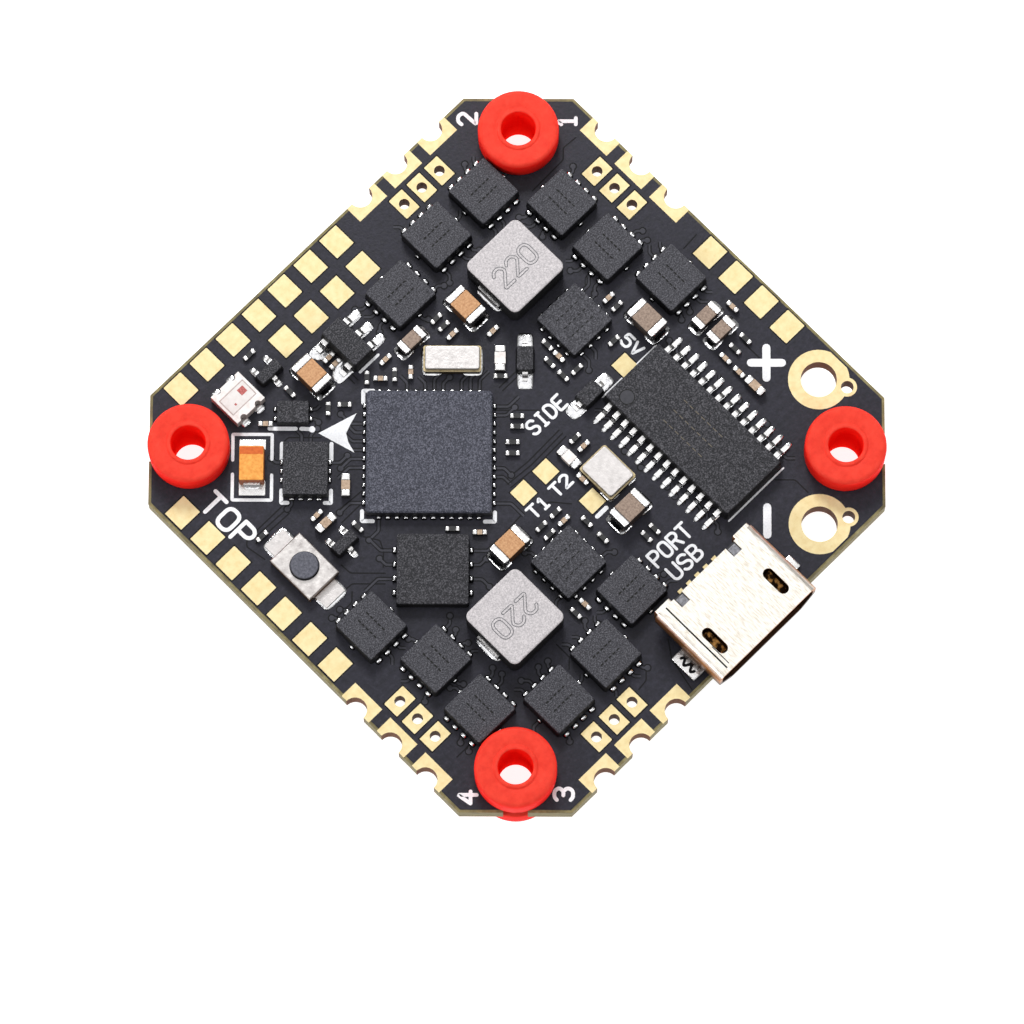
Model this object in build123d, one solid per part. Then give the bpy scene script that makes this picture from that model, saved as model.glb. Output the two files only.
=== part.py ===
from build123d import *
import math
import os

# All-in-one flight controller board for a small drone, in millimetres.
# Origin: centre of the square mounting pattern, half way through the board.
# +Z is the main component side. The micro-USB socket opens towards -Y.
# Several chips sit at 45 degrees. They are placed on the diagonal axes
# u (towards +X -Y) and v (towards +X +Y), see diagonal().

# ------------------------------------------------------------------ board
BOARD_SIDE = 33.0
CORNER_LEG = 4.35
BOARD_THICKNESS = 1.2
MASK_THICKNESS = 0.03
MASK_PULLBACK = 0.16
HOLE_CLEARANCE_RING = 0.12

MOUNT_SPACING = 25.5
MOUNT_HOLE_R = 1.6
MOUNT_SLOT_WIDTH = 1.35

FACE = BOARD_THICKNESS / 2          # outer face of the solder mask
CORE_TOP = FACE - MASK_THICKNESS    # face of the bare laminate
LAND_THICKNESS = 0.04
SEAT = FACE + LAND_THICKNESS        # parts stand on their solder here
GOLD_THICKNESS = 0.036

# ------------------------------------------------------------------ rubber grommets
GROMMET_FLANGE_R = 2.25
GROMMET_NECK_R = 1.52
GROMMET_BORE_R = 0.95
GROMMET_FLANGE_HEIGHT = 1.6
GROMMET_EDGE_R = 0.4

# ------------------------------------------------------------------ exposed pads
SIGNAL_PITCH = 2.0
SIGNAL_ALONG = 1.3
SIGNAL_DEEP = 1.45
LEFT_COLUMN_X = -15.52
LEFT_COLUMN_TOP_Y = 10.45
TOP_ROW_Y = 15.55
INNER_ROW_Y = 13.45
TOP_ROW_LAST_X = 1.3
RIGHT_COLUMN_X = 15.58
RIGHT_COLUMN_TOP_Y = 0.5
TEST_PADS = [(-1.42, -1.95), (0.3, -1.95), (0.94, -4.94), (7.64, -0.75)]
TEST_PAD_SIZE = 1.06

MOTOR_PAD_LENGTH = 2.1
MOTOR_PAD_DEPTH = 1.05
MOTOR_NOTCH_R = 0.66
MOTOR_PITCH = 2.73
MOTOR_FIRST = 4.1                   # first castellation from the board's centre line
HOLE_PAD_SIZE = (1.0, 1.43)
HOLE_PAD_PITCH = 1.37
HOLE_PAD_FIRST = 5.5
HOLE_PAD_INSET = 14.45
HOLE_PAD_R = 0.3

PLATING = 0.05
BATTERY_HOLE_R = 1.0
BATTERY_PAD_R = 1.7
BATTERY_PADS = {"positive": (14.67, -8.86), "negative": (8.86, -14.65)}
BATTERY_LOBE_AT = {"positive": (15.48, -10.27), "negative": (10.28, -15.5)}
BATTERY_LOBE_R = 0.54
BATTERY_VIA_R = 0.35
BATTERY_PAD_EDGE = 16.25            # pads are cut straight this far out

# ------------------------------------------------------------------ chips
MCU_SIDE = 7.0
MCU_HEIGHT = 0.75
GYRO_SIZE = (2.5, 3.0)
GYRO_HEIGHT = 0.8
FLASH_SIDE = 4.0
FLASH_HEIGHT = 0.75
OSD_SIZE = (4.4, 9.7)
OSD_LEAD_SPAN = 6.4
OSD_LEADS_PER_SIDE = 14
FET_SIDE = 2.9
FET_HEIGHT = 0.85
DRIVER_SIDE = 3.0
DRIVER_HEIGHT = 0.75

# ------------------------------------------------------------------ power parts
INDUCTOR_SIDE = 4.0
INDUCTOR_HEIGHT = 1.85
TANTALUM_SIZE = (1.4, 2.0, 1.0)

# ------------------------------------------------------------------ micro-USB socket
USB_CENTRE_X = 2.05
USB_WIDTH = 7.4
USB_HEIGHT = 2.5
USB_REAR_Y = -12.35
USB_MOUTH_Y = -17.3
USB_SHEET = 0.22
USB_SLOT_OFFSET = 2.35
USB_CONTACTS = 5
USB_CONTACT_PITCH = 0.65

# ------------------------------------------------------------------ boot button
SWITCH_AT = (-12.95, 3.45)
SWITCH_COVER = (2.25, 3.1)
SWITCH_BODY_HEIGHT = 0.66
SWITCH_SHEET = 0.1
PLUNGER_R = 0.78
PLUNGER_PROUD = 0.26
PLUNGER_TRAVEL = 0.2
PLUNGER_CLEARANCE = 0.05


def diagonal(u, v, turn=45):
    """Board position and angle of a part placed on the diagonal axes."""
    return (u + v) / math.sqrt(2), (v - u) / math.sqrt(2), turn - 90


# ------------------------------------------------------------------ where the parts sit
# Each spot is (x, y, angle).
CORNERS = [(sx * MOUNT_SPACING / 2, sy * MOUNT_SPACING / 2) for sx in (-1, 1) for sy in (-1, 1)]
MCU_AT = diagonal(-4.83, -0.25)
GYRO_AT = diagonal(-11.62, -1.22)
FLASH_AT = diagonal(-4.58, -6.87)
LOGIC_AT = diagonal(-12.35, 2.02)
TANTALUM_AT = diagonal(-14.57, -1.0)
MAIN_CRYSTAL_AT = diagonal(-3.59, 5.1)
OSD_CRYSTAL_AT = (2.6, -4.45, 90)
OSD_AT = (7.55, -6.1, 0)
FET_SPOTS = [
    (-12.7, -1.52, 0), (-8.32, -11.64, 0), (-4.72, -11.64, 0),
    (5.38, 11.74, 0), (9.0, 11.7, 0), (12.86, 0.86, 0),
    (-11.5, -5.32, 90), (-11.75, -8.98, 90), (-1.2, -10.12, 90),
    (1.6, 10.76, 90), (11.62, 8.2, 90), (11.62, 4.6, 90),
]
DRIVER_SPOTS = [(7.4, 2.95, 0), (-2.54, -6.56, 90)]
INDUCTOR_SPOTS = [(7.0, 7.2, 0), (-6.95, -6.85, 180)]
LDO_AT = (-2.45, 10.82, 0)
TRANSISTOR_SPOTS = [(-6.65, 12.72, 0), (-10.45, 2.86, 0)]
DIODE_SPOTS = [(5.03, -0.62, 0), (3.9, 3.3, 45)]
RGB_LED_AT = (-8.93, 12.82, 0)
STATUS_LED_SPOTS = [(2.98, 4.33, 45), (1.7, -2.35, 90)]

LARGE_0805 = [(-5.12, 10.88, 90), (3.65, 7.7, 90), (10.22, 0.12, 90), (-4.18, -3.66, 0), (1.92, -6.83, 0)]
LARGE_0603 = [(0.2, 8.45, 0), (12.72, -2.02, 0), (12.72, -3.17, 0)]
SMALL_0402 = [diagonal(-9.4, -2.08, 135), (-10.38, 4.42, 0), (11.84, -6.68, 90)]
CAPACITOR_0201 = [
    (-8.8, 10.8, -45), (14.2, -2.6, 90), (11.82, -4.42, 90), (11.8, -5.5, 90), (9.7, 2.58, 0),
    (3.82, 5.74, 0), (-1.54, 8.76, 0), (-2.5, 8.18, -45), (-1.06, 7.26, 45), (-3.68, 11.04, 0),
    (-3.68, 10.54, 0), (2.1, 7.18, 0), (-4.74, -1.88, -45), (1.38, -3.72, 90), (-1.0, -4.66, 0),
    (2.75, -2.44, 0), (-3.5, -8.8, 90), (5.38, 2.14, 90), (-10.42, 5.1, 0),
]
RESISTOR_0201 = [
    (-13.36, 6.38, 0), (-6.68, 14.26, 0), (-6.56, 11.18, 90), (-9.26, 3.08, 90), (-4.2, -8.8, 90),
    (1.6, -8.48, 90), (2.22, -8.48, 90), (-2.1, -4.02, 0), (-1.0, -4.02, 0), (-2.1, -4.66, 0),
    (-0.14, -5.58, 90), (-0.15, -6.84, 90), (4.78, 2.26, 90), (4.78, 1.2, 90), (5.4, 3.06, 90),
    (5.58, 0.92, 0), (2.73, -1.78, 0), (2.1, 8.46, 0), (2.1, 7.86, 0), (9.7, 1.92, 0),
    (8.18, 0.64, 0), (12.6, -4.39, 90), (13.42, -4.39, 90), diagonal(0.0, 1.93),
    diagonal(0.0, 1.33), diagonal(-0.24, 0.44), diagonal(-0.24, -0.19), diagonal(-0.92, 4.2),
    diagonal(-3.52, -4.48), diagonal(-9.52, 2.54), diagonal(-8.3, 4.07, 135),
    diagonal(-6.77, 4.25, 135), diagonal(-10.42, 2.3, 135),
]

# Underside, as seen through the board from above.
CONTROLLER_SPOTS = [(-8.6, 3.6, 0), (-3.4, 9.6, 0), (3.6, -8.4, 0), (9.2, -3.2, 0)]
BUCK_SPOTS = [(-9.4, -3.2, 90), (3.2, 9.6, 0)]
UNDER_0603 = [
    (-11.6, -7.0, 90), (-9.8, -7.0, 90), (-7.0, -11.6, 0), (-7.0, -9.8, 0),
    (11.6, 7.0, 90), (9.8, 7.0, 90), (7.0, 11.6, 0), (7.0, 9.8, 0),
]
UNDER_CAPACITOR_0402 = [
    (-8.6, 6.6, 0), (-11.4, 3.6, 90), (-3.4, 12.4, 0), (-0.6, 9.6, 90),
    (3.6, -11.2, 0), (0.8, -8.4, 90), (9.2, -6.2, 0), (12.0, -3.2, 90),
]
UNDER_RESISTOR_0402 = [
    (column * 1.1 + start_x, row * 1.5 + start_y, 90)
    for start_x, start_y in ((-4.4, -1.4), (1.2, 2.2))
    for column in range(4)
    for row in range(2)
]


# ------------------------------------------------------------------ small helpers
def block(width, depth, low, high, x=0.0, y=0.0):
    """Box centred on x, y that spans low to high in Z."""
    return Pos(x, y, (low + high) / 2) * Box(width, depth, high - low)


def cylinder(radius, low, high, x=0.0, y=0.0):
    """Upright cylinder that spans low to high in Z."""
    return Pos(x, y, (low + high) / 2) * Cylinder(radius, high - low)


def eased_block(width, depth, low, high, ease, x=0.0, y=0.0):
    """Box with every edge rounded."""
    body = block(width, depth, low, high)
    return Pos(x, y) * fillet(body.edges(), ease)


def moulded(width, depth, low, high, corner=0.08, taper=6):
    """Plastic package: sides that draw in by taper degrees and a small bevel round the top."""
    bevel = corner / 2
    draw = (high - low - bevel) * math.tan(math.radians(taper))
    rings = []
    for level, inset in ((low, 0.0), (high - bevel, draw), (high, draw + bevel)):
        radius = corner + draw - inset + bevel
        rings.append(Pos(0, 0, level) * RectangleRounded(width - 2 * inset, depth - 2 * inset, radius))
    return loft(rings, ruled=True)


def dimple(body, x, y, radius, depth=0.03):
    """Shallow round mark in the package's top that shows the first pin."""
    top = body.bounding_box().max.Z
    return body - cylinder(radius, top - depth, top + depth, x, y)


def bent_strip(route, width, thickness):
    """Sheet-metal strip that follows a route of (y, z) points, centred on x = 0."""
    line = Polyline(*[(y, z) for y, z in route])
    wide = trace(line, thickness)
    return Pos(width / 2, 0, 0) * extrude(Plane.YZ * wide, -width)


def evenly(count, pitch):
    """Offsets of evenly spaced things about zero."""
    return [(i - (count - 1) / 2) * pitch for i in range(count)]


def copies(pieces, spots, underside=False):
    """Every piece at every spot. Underside parts hang below the board."""
    placed = []
    for x, y, angle in spots:
        where = Pos(x, y, 0) * Rot(0, 0, angle)
        if underside:
            where = Rot(0, 180, 0) * Pos(-x, y, 0) * Rot(0, 0, angle)
        placed += [where * piece for piece in pieces]
    return placed


def lands_under(terminals, grow_x, grow_y):
    """A thin patch of solder under each terminal, a little larger than the terminal."""
    patches = []
    for terminal in terminals:
        box = terminal.bounding_box()
        width, depth = box.size.X + grow_x, box.size.Y + grow_y
        patches.append(block(width, depth, FACE, SEAT, box.center().X, box.center().Y))
    return patches


def write(name, pieces):
    """One STEP file per node, holding each piece as a solid of its own."""
    solids = [solid for piece in pieces for solid in piece.solids()]
    shape = solids[0] if len(solids) == 1 else Compound(solids)
    export_step(shape, f"parts/{name}.step")
    print(name, len(solids))


# ------------------------------------------------------------------ board and pads
def outline(inset=0.0):
    """Square with its corners cut off, drawn in by inset all round."""
    half = BOARD_SIDE / 2 - inset
    leg = CORNER_LEG - inset * (2 - math.sqrt(2))
    points = []
    for sx, sy in ((1, 1), (-1, 1), (-1, -1), (1, -1)):
        ends = [(sx * half, sy * (half - leg)), (sx * (half - leg), sy * half)]
        points += ends if sx * sy > 0 else ends[::-1]
    return make_face(Polyline(*points, close=True))


def motor_spots():
    """Castellated pads: three beside each end of the +X +Y and -X -Y corners."""
    edge = BOARD_SIDE / 2
    spots = []
    for i in range(3):
        along = MOTOR_FIRST + i * MOTOR_PITCH
        spots += [(along, edge, 0), (edge, along, -90), (-along, -edge, 180), (-edge, -along, 90)]
    return spots


def hole_pad_spots():
    """Small plated holes just inside the castellated pads."""
    spots = []
    for i in range(3):
        along = HOLE_PAD_FIRST + i * HOLE_PAD_PITCH
        spots += [(along, HOLE_PAD_INSET, 0), (HOLE_PAD_INSET, along, 90)]
        spots += [(-along, -HOLE_PAD_INSET, 0), (-HOLE_PAD_INSET, -along, 90)]
    return spots


def signal_spots():
    """Bare gold pads for receiver, camera, video, buzzer and light wires."""
    spots = [(LEFT_COLUMN_X, LEFT_COLUMN_TOP_Y - i * SIGNAL_PITCH, 90) for i in range(7)]
    spots += [(TOP_ROW_LAST_X - i * SIGNAL_PITCH, TOP_ROW_Y, 0) for i in range(7)]
    spots += [(TOP_ROW_LAST_X - i * SIGNAL_PITCH, INNER_ROW_Y, 0) for i in range(4)]
    spots += [(RIGHT_COLUMN_X, RIGHT_COLUMN_TOP_Y - i * SIGNAL_PITCH, 90) for i in range(4)]
    return spots


def placed_faces(face, spots):
    """A flat shape repeated at every spot."""
    return [Pos(x, y) * Rot(0, 0, angle) * face for x, y, angle in spots]


def signal_faces():
    pad = RectangleRounded(SIGNAL_ALONG, SIGNAL_DEEP, 0.06)
    test_pad = RectangleRounded(TEST_PAD_SIZE, TEST_PAD_SIZE, 0.03)
    return placed_faces(pad, signal_spots()) + placed_faces(test_pad, [(x, y, 0) for x, y in TEST_PADS])


def motor_faces():
    """Pads that run out to the board's edge, without their half-round notches."""
    pad = Pos(0, -MOTOR_PAD_DEPTH / 2) * Rectangle(MOTOR_PAD_LENGTH, MOTOR_PAD_DEPTH)
    return placed_faces(pad, motor_spots())


def notch_faces(radius):
    return placed_faces(Circle(radius), motor_spots())


def hole_pad_faces():
    return placed_faces(RectangleRounded(*HOLE_PAD_SIZE, 0.05), hole_pad_spots())


def battery_face(pole):
    """Ring pad, cut straight beside the edge, with a small lobe round its via."""
    pad = Pos(*BATTERY_PADS[pole]) * Circle(BATTERY_PAD_R)
    lobe = Pos(*BATTERY_LOBE_AT[pole]) * Circle(BATTERY_LOBE_R)
    return (pad + lobe) & Rectangle(2 * BATTERY_PAD_EDGE, 2 * BATTERY_PAD_EDGE)


def mount_hole_faces(grow=0.0):
    """Mounting holes, each open to the cut corner through a slot."""
    faces = []
    for x, y in CORNERS:
        outward = math.degrees(math.atan2(y, x))
        slot = Pos(2, 0) * Rectangle(4, MOUNT_SLOT_WIDTH + 2 * grow)
        faces.append(Pos(x, y) * Rot(0, 0, outward) * (Circle(MOUNT_HOLE_R + grow) + slot))
    return faces


def plated_hole_faces():
    """Holes as drilled, before the copper barrels go in."""
    faces = placed_faces(Circle(HOLE_PAD_R + PLATING), hole_pad_spots())
    faces += notch_faces(MOTOR_NOTCH_R + PLATING)
    for pole in BATTERY_PADS:
        faces.append(Pos(*BATTERY_PADS[pole]) * Circle(BATTERY_HOLE_R + PLATING))
        faces.append(Pos(*BATTERY_LOBE_AT[pole]) * Circle(BATTERY_VIA_R + PLATING))
    return faces


def board_core():
    sheet = outline() - mount_hole_faces() - plated_hole_faces()
    return Pos(0, 0, -CORE_TOP) * extrude(sheet, 2 * CORE_TOP)


def solder_mask(side):
    """Thin lacquer coat, drawn back from the edges and open over the gold pads."""
    openings = motor_faces() + hole_pad_faces() + [battery_face(pole) for pole in BATTERY_PADS]
    if side > 0:
        openings += signal_faces()
    sheet = outline(MASK_PULLBACK) - mount_hole_faces(HOLE_CLEARANCE_RING) - openings
    sheet -= notch_faces(MOTOR_NOTCH_R + PLATING)
    low = CORE_TOP if side > 0 else -FACE
    return Pos(0, 0, low) * extrude(sheet, MASK_THICKNESS)


def gold_sheet(face):
    """Gold-plated copper on the top face of the laminate."""
    return Pos(0, 0, CORE_TOP) * extrude(face, GOLD_THICKNESS)


def plated_through(face, barrel, hole):
    """Pads on both faces joined by the copper barrel that lines the hole."""
    pad = extrude(face - hole, GOLD_THICKNESS)
    ring = Pos(0, 0, -CORE_TOP) * extrude(barrel - hole, 2 * CORE_TOP)
    return Pos(0, 0, CORE_TOP) * pad + Pos(0, 0, -CORE_TOP - GOLD_THICKNESS) * pad + ring


def motor_pads():
    pads = []
    inside = outline()
    for x, y, angle in motor_spots():
        spot = Pos(x, y) * Rot(0, 0, angle)
        face = spot * Pos(0, -MOTOR_PAD_DEPTH / 2) * Rectangle(MOTOR_PAD_LENGTH, MOTOR_PAD_DEPTH)
        barrel = inside & (spot * Circle(MOTOR_NOTCH_R + PLATING))
        pads.append(plated_through(face, barrel, spot * Circle(MOTOR_NOTCH_R)))
    return pads


def motor_hole_pads():
    pads = []
    for x, y, angle in hole_pad_spots():
        spot = Pos(x, y) * Rot(0, 0, angle)
        face = spot * RectangleRounded(*HOLE_PAD_SIZE, 0.05)
        barrel = spot * Circle(HOLE_PAD_R + PLATING)
        pads.append(plated_through(face, barrel, spot * Circle(HOLE_PAD_R)))
    return pads


def battery_pad(pole):
    main = Pos(*BATTERY_PADS[pole])
    via = Pos(*BATTERY_LOBE_AT[pole])
    holes = main * Circle(BATTERY_HOLE_R) + via * Circle(BATTERY_VIA_R)
    barrels = main * Circle(BATTERY_HOLE_R + PLATING) + via * Circle(BATTERY_VIA_R + PLATING)
    return plated_through(battery_face(pole), barrels, holes)


def grommet():
    """Silicone bobbin: two thick flanges on a neck that fills the mounting hole."""
    top = FACE + GROMMET_FLANGE_HEIGHT
    lip = GROMMET_BORE_R + 0.22
    with BuildPart() as bobbin:
        with BuildSketch(Plane.XZ):
            with BuildLine():
                Polyline(
                    (GROMMET_BORE_R, -top + 0.2), (GROMMET_BORE_R, top - 0.2), (lip, top),
                    (GROMMET_FLANGE_R, top), (GROMMET_FLANGE_R, FACE), (GROMMET_NECK_R, FACE),
                    (GROMMET_NECK_R, -FACE), (GROMMET_FLANGE_R, -FACE), (GROMMET_FLANGE_R, -top),
                    (lip, -top), close=True,
                )
            make_face()
        revolve(axis=Axis.Z)
        rims = bobbin.edges().filter_by(GeomType.CIRCLE)
        outer = rims.filter_by(lambda edge: edge.radius > GROMMET_FLANGE_R - 0.01)
        fillet(outer.filter_by(lambda edge: abs(edge.center().Z) > FACE + 0.01), GROMMET_EDGE_R)
        inner = bobbin.edges().filter_by(GeomType.CIRCLE)
        fillet(inner.filter_by(lambda edge: abs(edge.radius - lip) < 0.01), 0.08)
    return bobbin.part


# ------------------------------------------------------------------ chip packages
def edge_terminals(count, pitch, reach, width, depth, height):
    """Solder-wetted terminals along the two sides that face +Y and -Y."""
    pieces = []
    for x in evenly(count, pitch):
        for side in (-1, 1):
            middle = side * (reach + depth / 2)
            wedge = block(width, depth, FACE, SEAT + height, x, middle)
            rim = wedge.edges().filter_by(Axis.X).sort_by(lambda e: e.center().Z + side * e.center().Y)[-1]
            pieces.append(chamfer(rim, min(depth, height) * 0.6))
    return pieces


def turned(pieces, angle=90):
    return [Rot(0, 0, angle) * piece for piece in pieces]


def mcu():
    body = moulded(MCU_SIDE, MCU_SIDE, SEAT, SEAT + MCU_HEIGHT, corner=0.15, taper=3)
    body = dimple(body, -2.8, 2.8, 0.3)
    row = edge_terminals(12, 0.5, MCU_SIDE / 2, 0.24, 0.16, 0.16)
    return body, row + turned(row)


def gyro():
    width, depth = GYRO_SIZE
    body = moulded(width, depth, SEAT, SEAT + GYRO_HEIGHT, corner=0.05, taper=1)
    body = dimple(body, -0.9, 1.15, 0.12)
    sides = turned(edge_terminals(3, 0.5, width / 2, 0.25, 0.14, 0.12))
    ends = edge_terminals(4, 0.5, depth / 2, 0.25, 0.14, 0.12)
    return body, sides + ends


def flash():
    body = moulded(FLASH_SIDE, FLASH_SIDE, SEAT, SEAT + FLASH_HEIGHT, corner=0.08, taper=2)
    body = dimple(body, -1.6, 1.6, 0.16)
    return body, turned(edge_terminals(4, 0.8, FLASH_SIDE / 2, 0.32, 0.2, 0.2))


def logic_chip():
    body = moulded(1.8, 1.3, SEAT, SEAT + 0.6, corner=0.05, taper=3)
    return body, turned(edge_terminals(2, 0.55, 0.9, 0.24, 0.16, 0.16))


def mosfet():
    """Power package with four wide leads on two sides and one tie bar on the others."""
    body = moulded(FET_SIDE, FET_SIDE, SEAT, SEAT + FET_HEIGHT, corner=0.08, taper=5)
    body = dimple(body, -1.05, -1.05, 0.1)
    leads = edge_terminals(4, 0.65, FET_SIDE / 2, 0.36, 0.24, 0.2)
    tie_bars = turned(edge_terminals(1, 1.0, FET_SIDE / 2, 0.26, 0.12, 0.2))
    return body, leads + tie_bars


def driver():
    body = moulded(DRIVER_SIDE, DRIVER_SIDE, SEAT, SEAT + DRIVER_HEIGHT, corner=0.06, taper=2)
    body = dimple(body, -1.2, 1.2, 0.12)
    row = edge_terminals(4, 0.65, DRIVER_SIDE / 2, 0.26, 0.14, 0.16)
    return body, row + turned(row)


def controller():
    """Small square controller chip with five terminals on each side."""
    body = moulded(3.0, 3.0, SEAT, SEAT + 0.75, corner=0.06, taper=2)
    body = dimple(body, -1.15, 1.15, 0.12)
    row = edge_terminals(5, 0.5, 1.5, 0.24, 0.12, 0.16)
    return body, row + turned(row)


def gull_wing(root, toe, shoulder, width, thickness):
    """Lead that leaves the package at shoulder height, steps down and ends in a flat toe."""
    knee = root + (toe - root) * 0.35
    ankle = root + (toe - root) * 0.5
    foot = SEAT + thickness / 2
    line = FilletPolyline((root, shoulder), (knee, shoulder), (ankle, foot), (toe, foot), radius=thickness)
    return Pos(width / 2, 0, 0) * extrude(Plane.YZ * trace(line, thickness), -width)


def leaded(width, depth, height, shoulder, spots_front, spots_back, span, lead_width):
    """Moulded body with gull-wing leads at the given x offsets on its -Y and +Y sides."""
    body = moulded(width, depth, SEAT + 0.08, SEAT + height, corner=0.06, taper=7)
    slope = (shoulder - SEAT - 0.08) * math.tan(math.radians(7))
    lead = gull_wing(depth / 2 - slope, span / 2, shoulder, lead_width, 0.14)
    leads = [Pos(x, 0) * lead for x in spots_back]
    leads += [Pos(x, 0) * Rot(0, 0, 180) * lead for x in spots_front]
    return body - leads, leads


def osd_chip():
    width, length = OSD_SIZE
    rows = evenly(OSD_LEADS_PER_SIDE, 0.65)
    body, leads = leaded(length, width, 1.05, SEAT + 0.5, rows, rows, OSD_LEAD_SPAN, 0.26)
    body = dimple(body, 3.8, 1.3, 0.42)
    return Rot(0, 0, 90) * body, turned(leads)


def ldo():
    body, leads = leaded(2.85, 1.6, 1.1, SEAT + 0.5, (-0.95, 0, 0.95), (-0.95, 0.95), 2.8, 0.38)
    return Rot(0, 0, 90) * body, turned(leads)


def buck():
    return leaded(2.85, 1.6, 1.0, SEAT + 0.45, (-0.95, 0, 0.95), (-0.95, 0, 0.95), 2.8, 0.38)


def transistor():
    return leaded(1.6, 0.8, 0.7, SEAT + 0.34, (0,), (-0.5, 0.5), 1.6, 0.26)


def diode():
    body, leads = leaded(1.05, 1.5, 0.75, SEAT + 0.36, (0,), (0,), 2.3, 0.3)
    return Rot(0, 0, 90) * body, turned(leads)


# ------------------------------------------------------------------ passives
def passive(length, width, height, cap, recess=0.015):
    """Ceramic block with a metal cap at each end. The block is a little smaller."""
    inner = length - 2 * cap
    body = block(inner, width - 2 * recess, SEAT + recess, SEAT + height - recess)
    return body, inner


def large_passive(length, width, height, cap, ease):
    """Passive whose caps have rounded edges."""
    body, inner = passive(length, width, height, cap)
    end = eased_block(cap, width, SEAT, SEAT + height, ease, (inner + cap) / 2)
    return body, [end, Rot(0, 0, 180) * end]


def small_passive(length, width, height, cap, recess=0.015):
    """Passive whose caps run down into sloping solder."""
    body, inner = passive(length, width, height, cap, recess)
    start, end, top = inner / 2, length / 2, SEAT + height
    outline_points = [
        (start, FACE), (end + 0.6 * cap, FACE), (end, FACE + 0.6 * height),
        (end, top - 0.03), (end - 0.03, top), (start, top),
    ]
    profile = Plane.XZ * make_face(Polyline(*outline_points, close=True))
    cap_solid = Pos(0, -width / 2, 0) * extrude(profile, -width)
    return body, [cap_solid, Rot(0, 0, 180) * cap_solid]


def inductor():
    """Moulded power inductor on two bent copper terminals."""
    lift = 0.12
    side = INDUCTOR_SIDE
    body = Pos(0, 0, SEAT + lift) * extrude(RectangleRounded(side, side, 0.42), INDUCTOR_HEIGHT - lift)
    body = fillet(body.faces().sort_by(Axis.Z)[-1].edges(), 0.12)
    foot = block(1.0, 1.6, SEAT, SEAT + lift, side / 2 - 0.45)
    tab = block(0.12, 1.6, SEAT, SEAT + 0.75, side / 2 + 0.06)
    terminal = foot + tab
    return body, [terminal, Rot(0, 0, 180) * terminal]


def crystal(length, width, height):
    """Ceramic tray closed by a welded metal lid."""
    tray = Pos(0, 0, SEAT) * extrude(RectangleRounded(length, width, 0.15), height * 0.6)
    lid = extrude(RectangleRounded(length - 0.18, width - 0.18, 0.16), height * 0.4)
    lid = Pos(0, 0, SEAT + height * 0.6) * lid
    return tray, fillet(lid.faces().sort_by(Axis.Z)[-1].edges(), 0.06)


def rgb_led():
    """White square lamp housing with a clear window and four wrap-round terminals."""
    side, height = 2.1, 0.8
    body = block(side, side, SEAT, SEAT + height)
    corners = [(x, y) for x in (-0.55, 0.55) for y in (-side / 2, side / 2)]
    for x, y in corners:
        body -= cylinder(0.2, SEAT - 1, SEAT + 1, x, y)
    window = Pos(0, 0, SEAT + 0.35) * extrude(RectangleRounded(1.86, 1.2, 0.1), height - 0.35)
    body -= window
    terminals = [block(0.36, 0.1, SEAT, SEAT + 0.12, x, y * 1.06) for x, y in corners]
    return body, window, terminals


def tantalum():
    """Moulded capacitor on two flat bent terminals."""
    width, length, height = TANTALUM_SIZE
    body = moulded(width, length, SEAT + 0.1, SEAT + height, corner=0.05, taper=2)
    foot = block(0.9, 0.5, SEAT, SEAT + 0.1, 0, length / 2 - 0.25)
    toe = block(0.9, 0.12, SEAT, SEAT + 0.5, 0, length / 2 + 0.06)
    terminal = foot + toe
    return body, [terminal, Rot(0, 0, 180) * terminal]


# ------------------------------------------------------------------ micro-USB socket
def usb_section(inset):
    """Cross-section of the shell: wide on top, drawn in towards the board."""
    half = USB_WIDTH / 2
    low, high = SEAT, SEAT + USB_HEIGHT
    corners = [
        (-half, high), (half, high), (half, low + 1.05),
        (half - 1.0, low), (-half + 1.0, low), (-half, low + 1.05),
    ]
    profile = make_face(Polyline(*corners, close=True))
    rounded = fillet(profile.vertices(), 0.45)
    return offset(rounded, -inset) if inset else rounded


def usb_prism(inset, near, far):
    """Shell section swept straight along Y from near to far."""
    section = Plane((0, near, 0), x_dir=(1, 0, 0), z_dir=(0, -1, 0)) * usb_section(inset)
    return extrude(section, near - far)


def usb_shell():
    shell = usb_prism(0, USB_REAR_Y, USB_MOUTH_Y) - usb_prism(USB_SHEET, USB_REAR_Y + 1, USB_MOUTH_Y - 1)
    top = SEAT + USB_HEIGHT
    for side in (-1, 1):
        latch_slot = Pos(side * USB_SLOT_OFFSET, USB_MOUTH_Y + 1.75, top - 0.5)
        shell -= latch_slot * extrude(SlotOverall(1.75, 0.62, rotation=90), 1)
        notch_y = USB_REAR_Y - 0.3
        shell -= block(0.62, 0.7, top - 0.5, top + 0.5, side * 2.0, notch_y)
        leg = block(0.5, 1.3, SEAT, SEAT + 0.2, side * (USB_WIDTH / 2 + 0.15), USB_MOUTH_Y + 2.2)
        strut = block(0.2, 1.3, SEAT, SEAT + 1.3, side * (USB_WIDTH / 2 + 0.0), USB_MOUTH_Y + 2.2)
        shell += leg + strut
        flap = block(1.1, 0.22, SEAT + 0.9, top, side * (USB_WIDTH / 2 - 0.7), USB_REAR_Y + 0.11)
        shell += fillet(flap.edges().filter_by(Axis.Y), 0.1)
    shell -= usb_prism(USB_SHEET, USB_REAR_Y - 0.01, USB_MOUTH_Y - 1)
    shell -= block(3.6, 0.6, SEAT - 1, SEAT + 0.5, 0, USB_REAR_Y - 0.2)
    return Pos(USB_CENTRE_X, 0) * shell


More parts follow.
